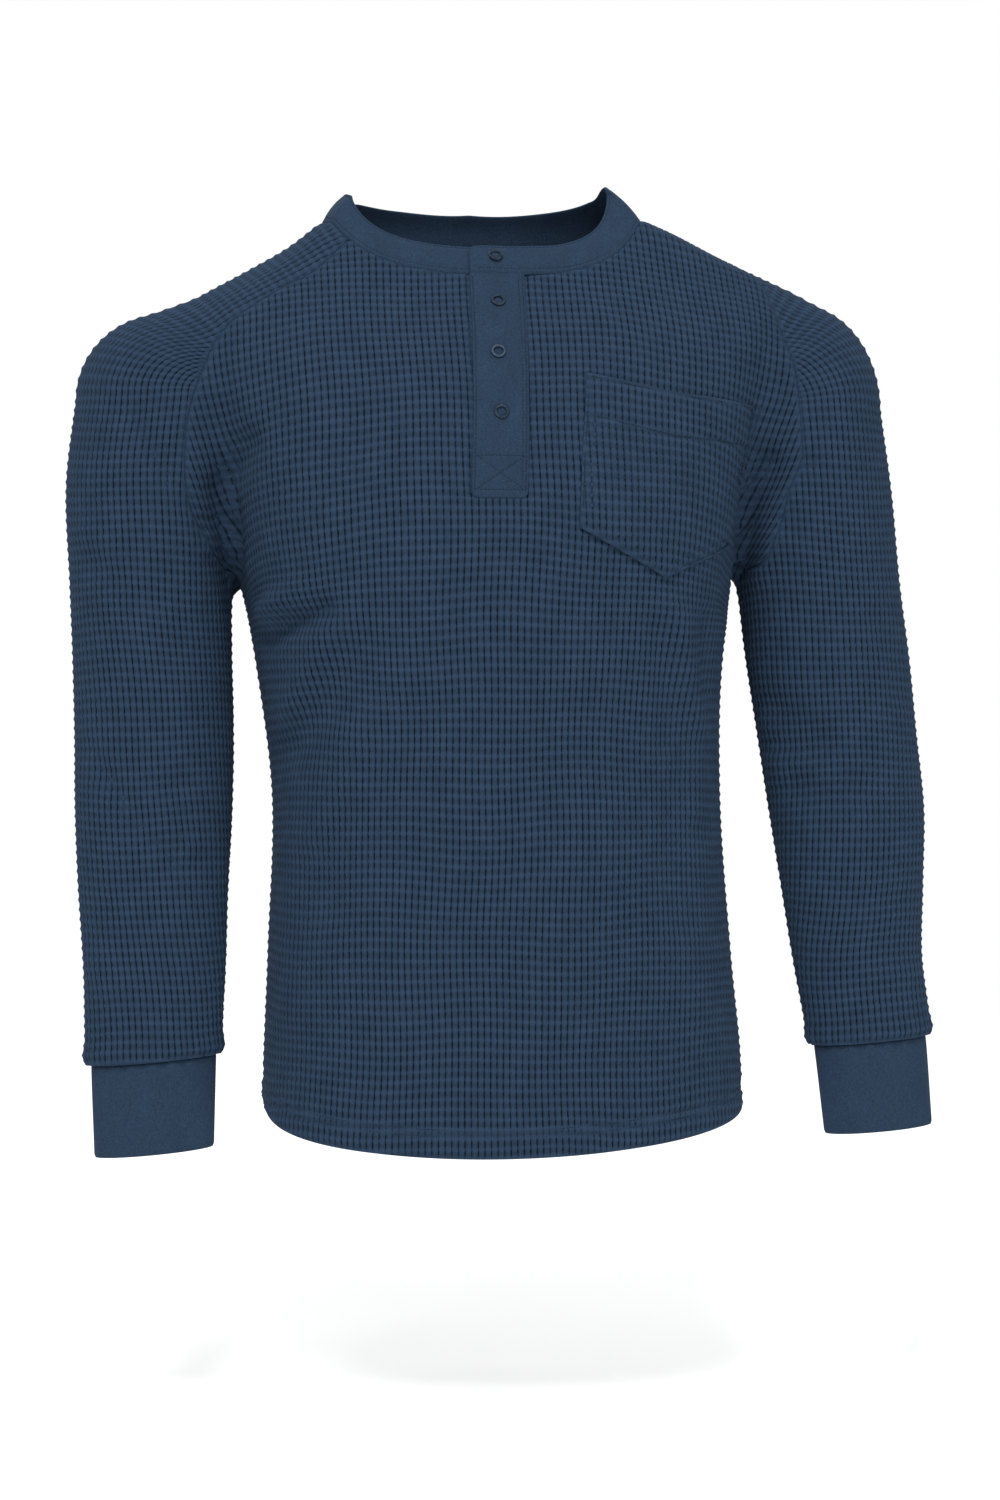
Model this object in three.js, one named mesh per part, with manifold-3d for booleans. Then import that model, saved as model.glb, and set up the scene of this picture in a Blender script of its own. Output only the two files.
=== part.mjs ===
// A long-sleeved knitted thermal top with a snap placket, worn by nobody but filled out as on a wearer.
// Millimetres, +Z up, the front faces -Y, and the origin is in the neck opening at the shoulders' level.
import * as THREE from 'three';
import Module from 'manifold-3d';
import { mergeVertices } from 'three/addons/utils/BufferGeometryUtils.js';

const wasm = await Module();
wasm.setup();

// Cloth thickness and the gaps between sewn pieces
const BODY_CLOTH = 1.8;
const JERSEY_CLOTH = 1.6;
const POCKET_CLOTH = 1.4;
const BAND_CLOTH = 2.2;
const CUFF_CLOTH = 2.0;
const SEAM_GAP = 0.5;
const UNDERARM_EASE = 1.6;
const UNDERARM_EASE_REACH = 34;
const LAYER_GAP = 0.35;

// The torso's level sections
const TORSO = [
  { z: -730, middle: 19, half: 185.5, front: 116, back: 104, square: 2.35 },
  { z: -666, middle: 19, half: 185, front: 118, back: 105, square: 2.35 },
  { z: -560, middle: 16, half: 178, front: 120, back: 106, square: 2.35 },
  { z: -430, middle: 13, half: 172, front: 124, back: 108, square: 2.35 },
  { z: -340, middle: 8, half: 178.5, front: 127, back: 113, square: 2.4 },
  { z: -270, middle: 6, half: 188, front: 128, back: 119, square: 2.6 },
  { z: -200, middle: 3, half: 198, front: 124, back: 121, square: 2.8 },
  { z: -140, middle: 1, half: 215, front: 110, back: 117, square: 2.8 },
  { z: -90, middle: 0, half: 240, front: 88, back: 107, square: 2.7 },
  { z: -50, middle: 0, half: 262, front: 62, back: 93, square: 2.5 },
  { z: 0, middle: 0, half: 270, front: 36, back: 74, square: 2.4 },
  { z: 40, middle: 0, half: 270, front: 20, back: 60, square: 2.4 },
];

// The shoulder's crest, out from the middle: the wearer's right side and left side hang a little differently
const CREST_RIGHT = [
  { out: 0, z: 38 }, { out: 60, z: 30 }, { out: 119, z: 1 }, { out: 146, z: -20 }, { out: 176, z: -38 },
  { out: 215, z: -60 }, { out: 251, z: -83 }, { out: 275, z: -104 }, { out: 300, z: -130 }, { out: 340, z: -175 },
];
const CREST_LEFT = [
  { out: 0, z: 38 }, { out: 60, z: 32 }, { out: 120, z: 9 }, { out: 147, z: -2 }, { out: 184, z: -20 },
  { out: 230, z: -40 }, { out: 252, z: -50 }, { out: 268, z: -61 }, { out: 286, z: -80 }, { out: 300, z: -98 },
  { out: 340, z: -150 },
];
const CREST_Y = 8;
const CREST_RADIUS = 75;
const CREST_SLOPE = 0.85;

// The arms' level sections
const ARM_RIGHT = [
  { z: -700, x: -249, y: -45, half: 46, deep: 25 },
  { z: -620, x: -249, y: -29, half: 51, deep: 29 },
  { z: -570, x: -248, y: -20, half: 53, deep: 32 },
  { z: -510, x: -249, y: -10, half: 56, deep: 36 },
  { z: -450, x: -248.5, y: -2, half: 59, deep: 40 },
  { z: -390, x: -248, y: 3, half: 60, deep: 45 },
  { z: -330, x: -249.5, y: 4, half: 60, deep: 50 },
  { z: -280, x: -251, y: 4, half: 60.5, deep: 55 },
  { z: -200, x: -247, y: 3, half: 67, deep: 63 },
  { z: -140, x: -239, y: 2, half: 68, deep: 66, cap: 66 },
];
const ARM_LEFT = [
  { z: -700, x: 304, y: -45, half: 44, deep: 25 },
  { z: -620, x: 300, y: -29, half: 48.5, deep: 29 },
  { z: -570, x: 294.5, y: -20, half: 50.5, deep: 32 },
  { z: -510, x: 292.5, y: -10, half: 56, deep: 36 },
  { z: -450, x: 290, y: -2, half: 61.5, deep: 40 },
  { z: -390, x: 283.5, y: 3, half: 63, deep: 45 },
  { z: -330, x: 276, y: 4, half: 64.5, deep: 50 },
  { z: -280, x: 269.5, y: 4, half: 64, deep: 55 },
  { z: -200, x: 259, y: 3, half: 66, deep: 63 },
  { z: -140, x: 251, y: 2, half: 65, deep: 66, cap: 84 },
];
const ARM_BLEND = 20;
const CREST_BLEND = 34;

// The largest folds: a line over the front or the back, pushed in (-) or out (+), with its half width
const FOLDS = [
  { face: -1, push: -7, wide: 11, line: [[-183, -178], [-199, -211], [-190, -248], [-178, -285]] },
  { face: -1, push: -4, wide: 9, line: [[-264, -157], [-240, -200], [-212, -237]] },
  { face: -1, push: -4, wide: 8, line: [[-167, -318], [-129, -304]] },
  { face: -1, push: 3.5, wide: 9, line: [[-174, -305], [-148, -285]] },
  { face: -1, push: 3, wide: 10, line: [[-129, -316], [-155, -374]] },
  { face: -1, push: -3, wide: 15, line: [[-86, -299], [-120, -350], [-146, -403]] },
  { face: -1, push: 2.5, wide: 15, line: [[-68, -351], [-110, -397]] },
  { face: -1, push: -7, wide: 11, line: [[215, -186], [203, -220], [191, -253], [188, -291]] },
  { face: -1, push: -4, wide: 8, line: [[248, -187], [228, -231]] },
  { face: -1, push: -3.5, wide: 9, line: [[214, -397], [258, -407]] },
  { face: -1, push: 3, wide: 11, line: [[132, -299], [156, -383]] },
  { face: -1, push: -3.5, wide: 7, line: [[160, -303], [162, -360]] },
  { face: -1, push: -3, wide: 9, line: [[-288, -421], [-255, -463], [-236, -492]] },
  { face: -1, push: 2.5, wide: 8, line: [[-252, -440], [-222, -475]] },
  { face: 1, push: -6, wide: 12, line: [[-188, -185], [-196, -225], [-186, -285]] },
  { face: 1, push: -6, wide: 12, line: [[205, -185], [202, -230], [192, -288]] },
  { face: 1, push: -3, wide: 14, line: [[-150, -300], [-105, -372]] },
  { face: 1, push: 3, wide: 15, line: [[-128, -285], [-80, -350]] },
  { face: 1, push: -3, wide: 14, line: [[158, -306], [118, -390]] },
  { face: 1, push: 3, wide: 14, line: [[132, -300], [92, -365]] },
  { face: 1, push: -3, wide: 10, line: [[-282, -402], [-222, -418]] },
  { face: 1, push: -3, wide: 10, line: [[252, -405], [318, -422]] },
  { face: 1, push: -3, wide: 9, line: [[-274, -452], [-226, -440]] },
  { face: 1, push: -2.5, wide: 16, line: [[-70, -120], [60, -128]] },
];

// Hem, cuff and neck edges
const HEM_SIDE = -668;
const HEM_DIP_FRONT = 35;
const HEM_DIP_BACK = 20;
const SLEEVE_END = -631;
const CUFF_END = -698;
const NECK = { x: 2, y: 5, half: 121, front: 74, back: 66, square: 2.6 };

// Seams: how far across (the pattern's own measure) and up, from under the arm to the neck
const ARMHOLE_RIGHT_FRONT = [
  [-203, -255], [-211, -242], [-218, -230], [-223, -217], [-226, -199], [-226, -175], [-224, -157],
  [-221, -145], [-211, -115], [-204, -100], [-194, -88], [-174, -73], [-152, -58], [-134, -48],
];
const ARMHOLE_LEFT_FRONT = [
  [219, -257], [223, -243], [227, -228], [230, -211], [234, -199], [240, -184], [240, -166], [238, -145],
  [234, -110], [228, -84], [220, -50], [205, -12], [182, 10], [150, 32],
];
const ARMHOLE_RIGHT_BACK = [
  [-203, -255], [-211, -242], [-218, -230], [-223, -217], [-226, -199], [-226, -175], [-224, -157],
  [-220, -140], [-213, -121], [-203, -104], [-190, -89], [-172, -73], [-150, -56], [-130, -40],
];
const ARMHOLE_LEFT_BACK = [
  [219, -257], [223, -243], [227, -228], [230, -211], [232, -199], [233, -184], [232, -166], [229, -145],
  [221, -118], [212, -100], [198, -88], [176, -74], [150, -56], [128, -42],
];
// Where the four shoulder seams meet the neckline, as turns round the neck from the wearer's left
const NECK_RIGHT_FRONT = 0.592;
const NECK_LEFT_FRONT = 0.985;
const NECK_RIGHT_BACK = 0.415;
const NECK_LEFT_BACK = 0.088;

// Placket and pocket outlines, seen from the front
const PLACKET = { topLeft: -15, topRight: 26, bottomLeft: -22, bottomRight: 19, top: -46, bottom: -221 };
const SLOT_INSET = 4;
const POCKET = [
  [66, -126], [134, -139], [201, -143], [195, -179], [190, -208], [185, -250], [123, -277], [57, -242], [60, -188],
];

// Collar band, laid from its over end round the neck to its under end
const BAND_STEPS = 72;
const BAND_RISE = { front: 21, right: 21, left: 25, back: 23 };
const BAND_LEAN = { front: 12, right: 17, left: 26, back: 9 };
const BAND_OVER = 2.0;
const BAND_BULGE = 1.6;
const BAND_UNDER_END = 14;
const BAND_LIFT = 0.6;
const BAND_OVER_PAST = 4;
const BAND_OVER_FADE = 30;

// Snaps: open rings on the placket and the band
const SNAP = { outer: 5.5, inner: 3.5, height: 1.3, soft: 0.35, sides: 24 };
const SNAP_PLACES = [[5, -33], [4, -70], [1, -111], [1, -157]];

// How finely the walls are stepped
const PANEL_COLUMNS = 26;
const SEAM_TURNS = 400;
const EDGE_CROWDING = 0.45;
const PATH_STEPS = 120;
const MIDDLE_AT_ARMS = -292;
const ROWS_BELOW_ARM = 13;
const ROWS_ABOVE_ARM = 16;
const SLEEVE_ROWS = 14;
const SLEEVE_COLUMNS = 18;
const CUFF_ROWS = 3;
const CUFF_COLUMNS = 28;
// How much narrower than the arm's form a cuff is, at its lower and its upper end
const CUFF_INSET = { lowHalf: 2, highHalf: 4, lowDeep: 1, highDeep: 3 };

// The arm's middle line over the shoulder: its bend, how far outside it the cloth lies, and its run to the neck
const BEND_RADIUS = 70;
const BEND_REACH = 65;
const BEND_RIGHT = 60;
const BEND_LEFT = 64;
const SADDLE_RUN = 112;

// The torso's spine, from which points are cast out to the cloth
const SPINE_Y = 5;
const SPINE_DROP = 62;
const FAN_UP = 62;
const SPINE_NARROW = 100;
const SPINE_AT_ARMS = 165;
const SPINE_WIDE = 250;
const SPREAD_FROM = -400;
const SPREAD_OVER = 120;
const HALF_WIDTH_BODY = 262;
const HALF_WIDTH_ARMS = 199;
const NARROW_FROM = -430;
const NARROW_OVER = 155;
const CAST_STEP = 4;
const CAST_REACH = 400;
const CAST_HALVINGS = 26;
const SLOPE_STEP = 0.6;

// Where the top of the gap between the torso and an arm is looked for
const PIT_SEARCH = { near: 175, far: 235, low: -330, high: -200, step: 0.5 };
// The neckline is cast from inside the chest towards a line that lies over the crest
const NECK_AIM = { across: 0.8, deep: 0.55, z: -110, under: 6, round: 110 };
const NECK_SLOPE_TURNS = 0.004;
const FRONT_TURNS = [0.55, 0.95];
const TURN_HALVINGS = 40;
// A fold fades where the cloth turns away from its side
const FOLD_FACING = { from: 0.05, over: 0.5 };
const ROUND_HEM = 0.8;
const SEAM_UNDER_PIT = 6;
const SEAM_ROW_SHARE = 0.4;
const BLOCK_DEPTH = 220;
const ABOVE_NECK = 40;
const IN_FRONT = -400;

const clamp = (value, low, high) => Math.min(Math.max(value, low), high);
const mix = (a, b, t) => a + (b - a) * t;

function ease(t) {
  const s = clamp(t, 0, 1);
  return s * s * (3 - 2 * s);
}

// A smooth curve through one column of a table
function curve(table, key, column, at) {
  const x = clamp(at, table[0][key], table[table.length - 1][key]);
  let i = 0;
  while (i < table.length - 2 && x > table[i + 1][key]) i += 1;
  const slope = (j) => (table[j + 1][column] - table[j][column]) / (table[j + 1][key] - table[j][key]);
  const lean = (j) => {
    if (j === 0) return slope(0);
    if (j === table.length - 1) return slope(j - 1);
    const before = table[j][key] - table[j - 1][key];
    const after = table[j + 1][key] - table[j][key];
    return (slope(j) * before + slope(j - 1) * after) / (before + after);
  };
  const h = table[i + 1][key] - table[i][key];
  const s = (x - table[i][key]) / h;
  return table[i][column] * (1 + 2 * s) * (1 - s) ** 2 + lean(i) * h * s * (1 - s) ** 2
    + table[i + 1][column] * s * s * (3 - 2 * s) - lean(i + 1) * h * s * s * (1 - s);
}

function smoothMin(a, b, k) {
  const h = Math.max(k - Math.abs(a - b), 0) / k;
  return Math.min(a, b) - (h * h * k) / 4;
}

const smoothMax = (a, b, k) => -smoothMin(-a, -b, k);
const crest = (x) => (x < 0 ? curve(CREST_RIGHT, 'out', 'z', -x) : curve(CREST_LEFT, 'out', 'z', x));

function torsoField(x, y, z) {
  const middle = curve(TORSO, 'z', 'middle', z);
  const half = curve(TORSO, 'z', 'half', z);
  const deep = curve(TORSO, 'z', y < 0 ? 'front' : 'back', z);
  const square = curve(TORSO, 'z', 'square', z);
  const reach = Math.hypot(x - middle, y) + 1e-6;
  const rho = ((Math.abs(x - middle) / half) ** square + (Math.abs(y) / deep) ** square) ** (1 / square) + 1e-9;
  const top = (z - crest(x) + (y - CREST_Y) ** 2 / (2 * CREST_RADIUS)) * CREST_SLOPE;
  return smoothMax(reach * (1 - 1 / rho), top, CREST_BLEND);
}

function armField(table, x, y, z) {
  const { z: highest, cap } = table[table.length - 1];
  const level = Math.min(z, highest);
  const dx = x - curve(table, 'z', 'x', level);
  const dy = y - curve(table, 'z', 'y', level);
  const up = Math.max(z - highest, 0);
  const half = curve(table, 'z', 'half', level);
  const deep = curve(table, 'z', 'deep', level);
  const rho = Math.hypot(dx / half, dy / deep, up / cap) + 1e-9;
  return (Math.hypot(dx, dy, up) + 1e-6) * (1 - 1 / rho);
}

// Below 0 inside the filled-out garment, above 0 outside
function field(x, y, z) {
  const withRight = smoothMin(torsoField(x, y, z), armField(ARM_RIGHT, x, y, z), ARM_BLEND);
  return smoothMin(withRight, armField(ARM_LEFT, x, y, z), ARM_BLEND);
}

// The first place where a line from inside leaves the form, or the end of its reach
function cast(from, along, reach = CAST_REACH) {
  const at = (t) => field(from.x + along.x * t, from.y + along.y * t, from.z + along.z * t);
  let low = 0;
  let high = Math.min(CAST_STEP, reach);
  while (high < reach && at(high) < 0) {
    low = high;
    high = Math.min(high + CAST_STEP, reach);
  }
  if (at(high) < 0) return from.clone().addScaledVector(along, reach);
  for (let i = 0; i < CAST_HALVINGS; i += 1) {
    const middle = (low + high) / 2;
    if (at(middle) < 0) low = middle;
    else high = middle;
  }
  return from.clone().addScaledVector(along, (low + high) / 2);
}

function outward(p) {
  const e = SLOPE_STEP;
  const g = new THREE.Vector3(
    field(p.x + e, p.y, p.z) - field(p.x - e, p.y, p.z),
    field(p.x, p.y + e, p.z) - field(p.x, p.y - e, p.z),
    field(p.x, p.y, p.z + e) - field(p.x, p.y, p.z - e),
  );
  return g.normalize();
}

function distanceToLine(x, z, line) {
  let nearest = Infinity;
  for (let i = 0; i + 1 < line.length; i += 1) {
    const [ax, az] = line[i];
    const [bx, bz] = line[i + 1];
    const length2 = (bx - ax) ** 2 + (bz - az) ** 2;
    const t = clamp(((x - ax) * (bx - ax) + (z - az) * (bz - az)) / length2, 0, 1);
    nearest = Math.min(nearest, Math.hypot(x - mix(ax, bx, t), z - mix(az, bz, t)));
  }
  return nearest;
}

function foldPush(p, normal) {
  let push = 0;
  for (const fold of FOLDS) {
    const facing = ease((normal.y * fold.face - FOLD_FACING.from) / FOLD_FACING.over);
    if (facing > 0) push += fold.push * facing * Math.exp(-((distanceToLine(p.x, p.z, fold.line) / fold.wide) ** 2));
  }
  return push;
}

// A point of the cloth: where it lies and which way it faces
function clothPoint(base) {
  const normal = outward(base);
  return { place: base.clone().addScaledVector(normal, foldPush(base, normal)), normal };
}

// The pattern's measure across and up, and the point of the form that it stands for
function spineHalf(up, side) {
  if (up > (side < 0 ? crotchRight.z : crotchLeft.z)) return SPINE_WIDE;
  return mix(SPINE_NARROW, SPINE_AT_ARMS, ease((up - SPREAD_FROM) / SPREAD_OVER));
}
const halfWidth = (up, side) => Math.max(
  mix(HALF_WIDTH_BODY, HALF_WIDTH_ARMS, ease((up - NARROW_FROM) / NARROW_OVER)), spineHalf(up, side) + 8,
);
const fanSide = (up, side) => (halfWidth(up, side) - spineHalf(up, side)) / (Math.PI / 2);

function castFromSpine(x, turn, up, face) {
  const crotch = x < 0 ? crotchRight : crotchLeft;
  const top = crest(x) - SPINE_DROP;
  const rise = Math.max(up - top, 0) / FAN_UP;
  const from = new THREE.Vector3(x, SPINE_Y, Math.min(up, top));
  const along = new THREE.Vector3(
    Math.sin(turn) * Math.cos(rise), face * Math.cos(turn) * Math.cos(rise), Math.sin(rise),
  );
  if (up <= crotch.z && turn !== 0) return cast(from, along, (crotch.x - x) / along.x);
  return cast(from, along);
}

function torsoBase(across, up, face) {
  const half = spineHalf(up, across);
  const turn = clamp((Math.abs(across) - half) / fanSide(up, across), 0, Math.PI / 2) * Math.sign(across);
  return castFromSpine(clamp(across, -half, half), turn, up, face);
}

function toPattern(p, face) {
  const forward = (p.y - SPINE_Y) * face;
  const top = crest(p.x) - SPINE_DROP;
  const up = p.z <= top ? p.z : top + FAN_UP * Math.atan2(p.z - top, forward);
  const half = spineHalf(up, p.x);
  const over = Math.abs(p.x) - half;
  const across = over <= 0 ? Math.abs(p.x) : half + fanSide(up, p.x) * Math.atan2(over, Math.max(forward, 0));
  return [Math.sign(p.x) * across, up];
}

// The neckline, once round from the wearer's left by the back
function neckBase(turns) {
  const angle = turns * 2 * Math.PI;
  const c = Math.cos(angle);
  const s = Math.sin(angle);
  const round = (value) => Math.sign(value) * Math.abs(value) ** (2 / NECK.square);
  const x = NECK.x + NECK.half * round(c);
  const y = NECK.y + (s < 0 ? NECK.front : NECK.back) * round(s);
  const inside = new THREE.Vector3(mix(NECK.x, x, NECK_AIM.across), mix(NECK.y, y, NECK_AIM.deep), NECK_AIM.z);
  const aim = new THREE.Vector3(x, y, crest(x) - NECK_AIM.under - (y - CREST_Y) ** 2 / NECK_AIM.round);
  return cast(inside, aim.sub(inside).normalize());
}

// The highest point of the gap between the torso and an arm, where four seams meet
function underArm(side) {
  let best = null;
  for (let out = PIT_SEARCH.near; out <= PIT_SEARCH.far; out += 1) {
    const x = side * out;
    let z = PIT_SEARCH.low;
    if (field(x, SPINE_Y, z) < 0) continue;
    while (z < PIT_SEARCH.high && field(x, SPINE_Y, z) > 0) z += PIT_SEARCH.step;
    if (!best || z > best.z) best = new THREE.Vector3(x, SPINE_Y, z);
  }
  return best;
}

// Points at even steps along a smooth line through hand-placed ones
function evenly(points, count) {
  const line = new THREE.CatmullRomCurve3(points, false, 'centripetal');
  line.arcLengthDivisions = SEAM_TURNS;
  return line.getSpacedPoints(count);
}

function armholeBase(table, face, crotch, neck) {
  const through = table.map(([across, up]) => castFromSpine(across, 0, up, face));
  return evenly([crotch, ...through, neck], ROWS_ABOVE_ARM);
}

// A sheet of shared points and triangles, which a wall is made from
class Sheet {
  constructor() {
    this.points = [];
    this.faces = [];
  }

  add(base) {
    this.points.push(clothPoint(base));
    return this.points.length - 1;
  }

  quad(a, b, c, d) {
    this.faces.push([a, b, c], [a, c, d]);
  }

  grid(rows) {
    for (let i = 0; i + 1 < rows.length; i += 1) {
      for (let j = 0; j + 1 < rows[i].length; j += 1) {
        this.quad(rows[i][j], rows[i][j + 1], rows[i + 1][j + 1], rows[i + 1][j]);
      }
    }
    this.faceOut();
  }

  // Turns every triangle the same way as the points' own directions
  faceOut() {
    let agreement = 0;
    for (const [a, b, c] of this.faces) {
      const [pa, pb, pc] = [a, b, c].map((k) => this.points[k].place);
      agreement += pb.clone().sub(pa).cross(pc.clone().sub(pa)).dot(this.points[a].normal);
    }
    if (agreement < 0) this.faces = this.faces.map(([a, b, c]) => [a, c, b]);
  }
}

// The open edges of a sheet, each as a directed pair of points
function openEdges(faces) {
  const edges = new Map();
  for (const [a, b, c] of faces) {
    for (const [from, to] of [[a, b], [b, c], [c, a]]) {
      if (edges.has(`${to},${from}`)) edges.delete(`${to},${from}`);
      else edges.set(`${from},${to}`, [from, to]);
    }
  }
  return [...edges.values()];
}

// A closed wall between two depths of a sheet, drawn back by half a seam gap at its open edges
function wall(sheet, outer, inner) {
  const edges = openEdges(sheet.faces);
  const places = sheet.points.map((point) => point.place.clone());
  const along = new Map();
  for (const [from, to] of edges) {
    const step = sheet.points[to].place.clone().sub(sheet.points[from].place).normalize();
    for (const end of [from, to]) along.set(end, (along.get(end) ?? new THREE.Vector3()).add(step));
  }
  for (const [index, step] of along) {
    const inward = sheet.points[index].normal.clone().cross(step).normalize();
    const away = Math.min(crotchRight.distanceTo(places[index]), crotchLeft.distanceTo(places[index]));
    const extra = UNDERARM_EASE * Math.exp(-((away / UNDERARM_EASE_REACH) ** 2));
    places[index].addScaledVector(inward, SEAM_GAP / 2 + extra);
  }
  const count = places.length;
  const position = [];
  for (const depth of [outer, inner]) {
    places.forEach((place, i) => position.push(...place.clone().addScaledVector(sheet.points[i].normal, depth)));
  }
  const index = [];
  for (const [a, b, c] of sheet.faces) index.push(a, b, c, a + count, c + count, b + count);
  for (const [from, to] of edges) index.push(to, from, from + count, to, from + count, to + count);
  const geometry = new THREE.BufferGeometry();
  geometry.setAttribute('position', new THREE.Float32BufferAttribute(position, 3));
  geometry.setIndex(index);
  return geometry;
}

function toSolid(geometry) {
  const plain = geometry.clone();
  plain.deleteAttribute('normal');
  plain.deleteAttribute('uv');
  const merged = mergeVertices(plain, 1e-4);
  return new wasm.Manifold(new wasm.Mesh({
    numProp: 3,
    vertProperties: new Float32Array(merged.attributes.position.array),
    triVerts: new Uint32Array(merged.index.array),
  }));
}

function toGeometry(solid) {
  const mesh = solid.getMesh();
  const geometry = new THREE.BufferGeometry();
  geometry.setAttribute('position', new THREE.Float32BufferAttribute(mesh.vertProperties, 3));
  geometry.setIndex(new THREE.Uint32BufferAttribute(mesh.triVerts, 1));
  return geometry;
}

// A block that reaches through the front of the garment, with an outline given as across and up
function frontBlock(outline) {
  const shape = new THREE.Shape(outline.map(([x, z]) => new THREE.Vector2(x, z)));
  const geometry = new THREE.ExtrudeGeometry(shape, { depth: BLOCK_DEPTH, bevelEnabled: false });
  geometry.rotateX(Math.PI / 2);
  return toSolid(geometry);
}

const crotchRight = underArm(-1);
const crotchLeft = underArm(1);
const neckRightFront = neckBase(NECK_RIGHT_FRONT);
const neckLeftFront = neckBase(NECK_LEFT_FRONT);
const neckRightBack = neckBase(NECK_RIGHT_BACK);
const neckLeftBack = neckBase(NECK_LEFT_BACK);
const armholes = {
  rightFront: armholeBase(ARMHOLE_RIGHT_FRONT, -1, crotchRight, neckRightFront),
  leftFront: armholeBase(ARMHOLE_LEFT_FRONT, -1, crotchLeft, neckLeftFront),
  rightBack: armholeBase(ARMHOLE_RIGHT_BACK, 1, crotchRight, neckRightBack),
  leftBack: armholeBase(ARMHOLE_LEFT_BACK, 1, crotchLeft, neckLeftBack),
};

// The side seam from the hem to under the arm
function sideSeam(side, crotch) {
  const points = [];
  for (let i = 0; i < ROWS_BELOW_ARM; i += 1) {
    const up = mix(HEM_SIDE, crotch.z - SEAM_UNDER_PIT, i / (ROWS_BELOW_ARM - SEAM_ROW_SHARE));
    points.push(torsoBase(side * halfWidth(up, side), up, -1));
  }
  return points;
}

const seamRight = sideSeam(-1, crotchRight);
const seamLeft = sideSeam(1, crotchLeft);

// Columns stand closer together near a panel's edges
const crowded = (t) => t - (EDGE_CROWDING * Math.sin(2 * Math.PI * t)) / (2 * Math.PI);

// How high a row lies at the panel's middle
const middleOfRow = (row, hem, neck) => (row < ROWS_BELOW_ARM
  ? mix(hem, MIDDLE_AT_ARMS, row / ROWS_BELOW_ARM)
  : mix(MIDDLE_AT_ARMS, neck, (row - ROWS_BELOW_ARM) / ROWS_ABOVE_ARM));

// The point that lies a share of the way along a curve, by its length
function shareOfWay(pointAt) {
  const lengths = [0];
  let before = pointAt(0);
  for (let k = 1; k <= PATH_STEPS; k += 1) {
    const next = pointAt(k / PATH_STEPS);
    lengths.push(lengths[k - 1] + next.distanceTo(before));
    before = next;
  }
  return (share) => {
    const wanted = share * lengths[PATH_STEPS];
    let k = 0;
    while (k < PATH_STEPS - 1 && lengths[k + 1] < wanted) k += 1;
    return pointAt((k + (wanted - lengths[k]) / (lengths[k + 1] - lengths[k])) / PATH_STEPS);
  };
}

// Front or back: rows from the hem to the neckline, each from one side's seam to the other's
function panelSheet(face, edgeA, edgeB, neckFrom, neckTo) {
  const sheet = new Sheet();
  const rows = edgeA.length;
  const flatA = edgeA.map((p) => toPattern(p, face));
  const flatB = edgeB.map((p) => toPattern(p, face));
  const neckAt = (s) => neckBase(mix(neckFrom, neckTo, s));
  const [endA, middle, endB] = [0, 0.5, 1].map((s) => toPattern(neckAt(s), face));
  const dip = face < 0 ? HEM_DIP_FRONT : HEM_DIP_BACK;
  const ids = [];
  for (let i = 0; i < rows; i += 1) {
    const middleUp = middleOfRow(i, HEM_SIDE - dip, middle[1]);
    const t = (middleUp - HEM_SIDE + dip) / (middle[1] - HEM_SIDE + dip);
    const rowAt = (s) => {
      if (s <= 0) return edgeA[i];
      if (s >= 1) return edgeB[i];
      if (i === rows - 1) return neckAt(s);
      const top = toPattern(neckAt(s), face);
      const bend = top[0] - mix(endA[0], endB[0], s);
      const neckSag = (top[1] - mix(endA[1], endB[1], s)) / (middle[1] - (endA[1] + endB[1]) / 2);
      const sag = mix(Math.sin(Math.PI * s) ** ROUND_HEM, neckSag, t ** 3);
      const up = mix(flatA[i][1], flatB[i][1], s) + sag * (middleUp - (flatA[i][1] + flatB[i][1]) / 2);
      return torsoBase(mix(flatA[i][0], flatB[i][0], s) + bend * t ** 3, up, face);
    };
    const along = shareOfWay(rowAt);
    const row = [];
    for (let j = 0; j <= PANEL_COLUMNS; j += 1) {
      const s = crowded(j / PANEL_COLUMNS);
      const end = j === 0 || j === PANEL_COLUMNS;
      row.push(sheet.add(end ? rowAt(s) : along(s)));
    }
    ids.push(row);
  }
  sheet.grid(ids);
  return sheet;
}

// The arm's middle line: straight up, round over the shoulder, and on towards the neck
function armMiddle(table, side, fraction, crotchZ) {
  const highest = table[table.length - 1];
  const straight = highest.z - crotchZ;
  const bend = THREE.MathUtils.degToRad(side < 0 ? BEND_RIGHT : BEND_LEFT);
  const outside = BEND_RADIUS + BEND_REACH;
  const run = fraction * (straight + outside * bend + SADDLE_RUN);
  if (run <= straight) {
    const z = crotchZ + run;
    return { at: new THREE.Vector3(curve(table, 'z', 'x', z), curve(table, 'z', 'y', z), z), tilt: 0 };
  }
  const tilt = Math.min((run - straight) / outside, bend);
  const on = Math.max(run - straight - outside * bend, 0);
  const x = highest.x - side * (BEND_RADIUS * (1 - Math.cos(tilt)) + on * Math.sin(tilt));
  const z = highest.z + BEND_RADIUS * Math.sin(tilt) + on * Math.cos(tilt);
  return { at: new THREE.Vector3(x, highest.y, z), tilt };
}

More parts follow.
